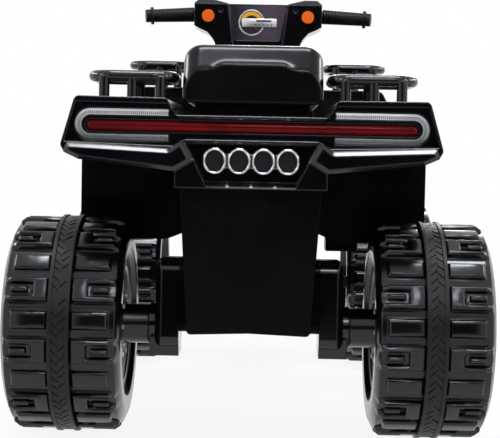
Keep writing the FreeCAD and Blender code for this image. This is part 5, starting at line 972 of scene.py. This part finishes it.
def off_arc(centre, normal):
    """What is cut away from the disc: its rim, its back, its middle and all below the arc's feet."""
    middle = math.hypot(*from_dial(centre)) < ARC_CENTRE
    return normal.y > -SIDEWAYS or middle or centre.z - DIAL_Z < ARC_FOOT


arc = flat_disc("dial_arc", DIAL_RADIUS - DIAL_RING * ARC_GAP_SHARE, ARC_SIDES, layer=0.65)
choose_faces(arc, faces_rider)
bpy.ops.mesh.inset(thickness=ARC_WIDTH)
choose_faces(arc, off_arc)
bpy.ops.mesh.delete(type="FACE")
bpy.ops.mesh.select_all(action="SELECT")
bpy.ops.mesh.extrude_region_move(
    TRANSFORM_OT_translate={"value": (0, PRINT_THICK * ARC_RISE_SHARE, 0)}
)
bpy.ops.mesh.select_all(action="SELECT")
bpy.ops.mesh.normals_make_consistent(inside=False)
only_piece(arc)
printed(arc, amber_print)

ticks = flat_block("dial_ticks", TICK_LOW, TICK_HIGH, layer=1.2)
choose_faces(ticks, faces_rider)
bpy.ops.mesh.inset(thickness=TICK_EDGE)
bpy.ops.mesh.select_all(action="SELECT")
bpy.ops.transform.rotate(value=TICK_SPREAD / 2, orient_axis="Y", center_override=DIAL_MIDDLE)
bpy.ops.mesh.spin(
    steps=TICK_COUNT, dupli=True, angle=TICK_SPREAD, center=DIAL_MIDDLE, axis=(0, 1, 0)
)
bpy.ops.mesh.select_all(action="SELECT")
bpy.ops.mesh.normals_make_consistent(inside=False)
only_piece(ticks)
printed(ticks, dial_dark)

needle = flat_block("dial_needle", NEEDLE_LOW, NEEDLE_HIGH, layer=1.0)
choose_faces(needle, lambda centre, normal: normal.z < -FACING)
bpy.ops.transform.resize(value=(NEEDLE_TIP_SHARE, 1, 1), center_override=DIAL_MIDDLE)
bpy.ops.mesh.select_all(action="SELECT")
bpy.ops.transform.rotate(value=NEEDLE_TURN, orient_axis="Y", center_override=DIAL_MIDDLE)
only_piece(needle)
printed(needle, needle_red)

display = flat_block("dash_display", STRIP_LOW, STRIP_HIGH, layer=1.7)
finish_piece(display, PRINT_ROUND)
printed(display, silver_print)
readout = flat_block("dash_readout", READOUT_LOW, READOUT_HIGH, layer=2.6)
finish_piece(readout, PRINT_ROUND, 1)
printed(readout, dial_dark)
keys = flat_block("dash_keys", KEY_LOW, KEY_HIGH, layer=2.6)
finish_piece(keys, KEY_ROUND, 1)
row = keys.modifiers.new("row of keys", "ARRAY")
row.count = KEY_COUNT
row.use_relative_offset = False
row.use_constant_offset = True
row.constant_offset_displace = (KEY_PITCH, 0, 0)
bpy.ops.object.modifier_apply(modifier=row.name)
printed(keys, dial_dark)


# Headlamps: a pressed and plated reflector behind a clear, slightly uneven acrylic lens, both set in the
# nose of the front fender.

dress(chrome, "headlight_reflectors")
lens_clear = moulded(
    "clear lens", (0.86, 0.87, 0.88), (0.95, 0.96, 0.97), (0.04, 0.1), 160.0, 0.0006, 0.0008, shine=0.5
)
lens_surface = lens_clear.node_tree.nodes["Principled BSDF"]
lens_surface.inputs["Transmission Weight"].default_value = 0.9
lens_surface.inputs["IOR"].default_value = 1.49
dress(lens_clear, "headlight_lenses")


# Studio: a white paper floor that runs out into a white background, one wide lamp overhead, a fill
# lamp behind the camera, narrow lamps all round for the edges, and a dark flag behind the camera.

CAMERA_PLACE = (0.020, -2.210, 0.400)
FOCAL_PIXELS = 1334.0
PICTURE_WIDTH = 500
PITCH, YAW, ROLL = 3.13, 0.67, 1.15
SENSOR = 36.0
PAPER_NEAR, PAPER_FAR = 0.55, 1.15
PAPER_WHITE_SHARE, SKY_SHARE = 0.9, 0.3
PAPER_SIZE, PAPER_GRID = 24, 8
FLAG_WIDTH, FLAG_HEIGHT, FLAG_BACK = 2.6, 1.5, -3.7


def plain_view(tree):
    """One for what is seen straight, mirrored or through glass, and nought for light on the object."""
    path = tree.nodes.new("ShaderNodeLightPath")
    seen = None
    for ray in ("Is Camera Ray", "Is Glossy Ray", "Is Transmission Ray"):
        either = tree.nodes.new("ShaderNodeMath")
        either.operation = "MAXIMUM"
        tree.links.new(path.outputs[ray], either.inputs[0])
        if seen:
            tree.links.new(seen.outputs["Value"], either.inputs[1])
        else:
            either.inputs[1].default_value = 0
        seen = either
    return seen


bpy.ops.object.select_all(action="DESELECT")
bpy.ops.mesh.primitive_grid_add(x_subdivisions=PAPER_GRID, y_subdivisions=PAPER_GRID, size=PAPER_SIZE)
floor = start_piece("studio_floor")
paper = bpy.data.materials.new("studio paper")
paper.use_nodes = True
sheet = paper.node_tree.nodes["Principled BSDF"]
paper_place = shader_node(paper, "ShaderNodeTexCoord")
fibre = shader_node(paper, "ShaderNodeTexNoise", Scale=40.0, Detail=3.0)
join(paper, paper_place, "Object", fibre, "Vector")
paper_tone = tone_between(paper, fibre, "Fac", (0.9, 0.9, 0.9), (0.94, 0.94, 0.94))
join(paper, paper_tone, "Color", sheet, "Base Color")
sheet.inputs["Roughness"].default_value = 0.9
sheet.inputs["Specular IOR Level"].default_value = 0.0
from_object = shader_node(paper, "ShaderNodeVectorMath")
from_object.operation = "LENGTH"
join(paper, paper_place, "Object", from_object, 0)
fading = shader_node(paper, "ShaderNodeMapRange")
fading.inputs["From Min"].default_value = PAPER_NEAR
fading.inputs["From Max"].default_value = PAPER_FAR
fading.inputs["To Min"].default_value = PAPER_WHITE_SHARE
join(paper, from_object, "Value", fading, "Value")
shown = shader_node(paper, "ShaderNodeMath")
shown.operation = "MULTIPLY"
paper.node_tree.links.new(plain_view(paper.node_tree).outputs["Value"], shown.inputs[0])
join(paper, fading, "Result", shown, 1)
white = shader_node(paper, "ShaderNodeEmission", Color=(1, 1, 1, 1), Strength=1.0)
mixed = shader_node(paper, "ShaderNodeMixShader")
join(paper, shown, "Value", mixed, 0)
join(paper, sheet, "BSDF", mixed, 1)
join(paper, white, "Emission", mixed, 2)
join(paper, mixed, "Shader", paper.node_tree.nodes["Material Output"], "Surface")
floor.data.materials.append(paper)

world = bpy.data.worlds.new("studio")
scene.world = world
world.use_nodes = True
sky = world.node_tree.nodes["Background"]
sky.inputs["Color"].default_value = (1, 1, 1, 1)
sky_level = world.node_tree.nodes.new("ShaderNodeMapRange")
sky_level.inputs["To Min"].default_value = SKY_SHARE
world.node_tree.links.new(plain_view(world.node_tree).outputs["Value"], sky_level.inputs["Value"])
world.node_tree.links.new(sky_level.outputs["Result"], sky.inputs["Strength"])

bpy.ops.object.select_all(action="DESELECT")
bpy.ops.mesh.primitive_plane_add(
    size=1, location=(0, FLAG_BACK, FLAG_HEIGHT / 2), rotation=(math.pi / 2, 0, 0)
)
bpy.context.view_layer.objects.active.scale = (FLAG_WIDTH, FLAG_HEIGHT, 1)
flag = start_piece("dark_flag")
flag.visible_camera = False
cloth = moulded(
    "flag cloth", (0.008, 0.008, 0.008), (0.014, 0.014, 0.014), (0.9, 1.0), 200.0, 0.0005, 0.001,
    shine=0.0,
)
flag.data.materials.append(cloth)


def soft_lamp(name, place, aim, size, power):
    """An oblong lamp of so many watts that faces a point."""
    lamp = bpy.data.lights.new(name, "AREA")
    lamp.shape = "RECTANGLE"
    lamp.size, lamp.size_y = size
    lamp.energy = power
    holder = bpy.data.objects.new(name, lamp)
    scene.collection.objects.link(holder)
    holder.location = place
    holder.rotation_euler = (Vector(aim) - Vector(place)).to_track_quat("-Z", "Y").to_euler()


soft_lamp("lamp overhead", (0.1, -0.6, 2.3), (0, -0.2, 0.3), (1.3, 0.42), 40)
soft_lamp("fill behind the camera", (0.3, -2.9, 2.5), (0, -0.3, 0.35), (0.9, 0.5), 16)
soft_lamp("lamp on the left", (-2.2, -1.7, 1.4), (0, -0.2, 0.3), (0.3, 1.1), 13)
soft_lamp("lamp on the right", (2.2, -1.5, 1.5), (0, -0.2, 0.3), (0.3, 1.1), 13)
soft_lamp("long lamp on the left", (-2.3, 0.4, 1.5), (0, 0.1, 0.3), (2.2, 0.3), 28)
soft_lamp("long lamp on the right", (2.3, 0.4, 1.5), (0, 0.1, 0.3), (2.2, 0.3), 28)
soft_lamp("lamp in front", (0.5, 2.7, 1.6), (0, 0.2, 0.35), (1.3, 0.4), 22)

camera_data = bpy.data.cameras.new("photographer")
camera_data.sensor_width = SENSOR
camera_data.lens = FOCAL_PIXELS / PICTURE_WIDTH * SENSOR
camera = bpy.data.objects.new("photographer", camera_data)
scene.collection.objects.link(camera)
camera.location = CAMERA_PLACE
turn = (
    Matrix.Rotation(math.radians(YAW), 3, "Z")
    @ Matrix.Rotation(math.radians(90 - PITCH), 3, "X")
    @ Matrix.Rotation(math.radians(ROLL), 3, "Z")
)
camera.rotation_euler = turn.to_euler()
scene.camera = camera
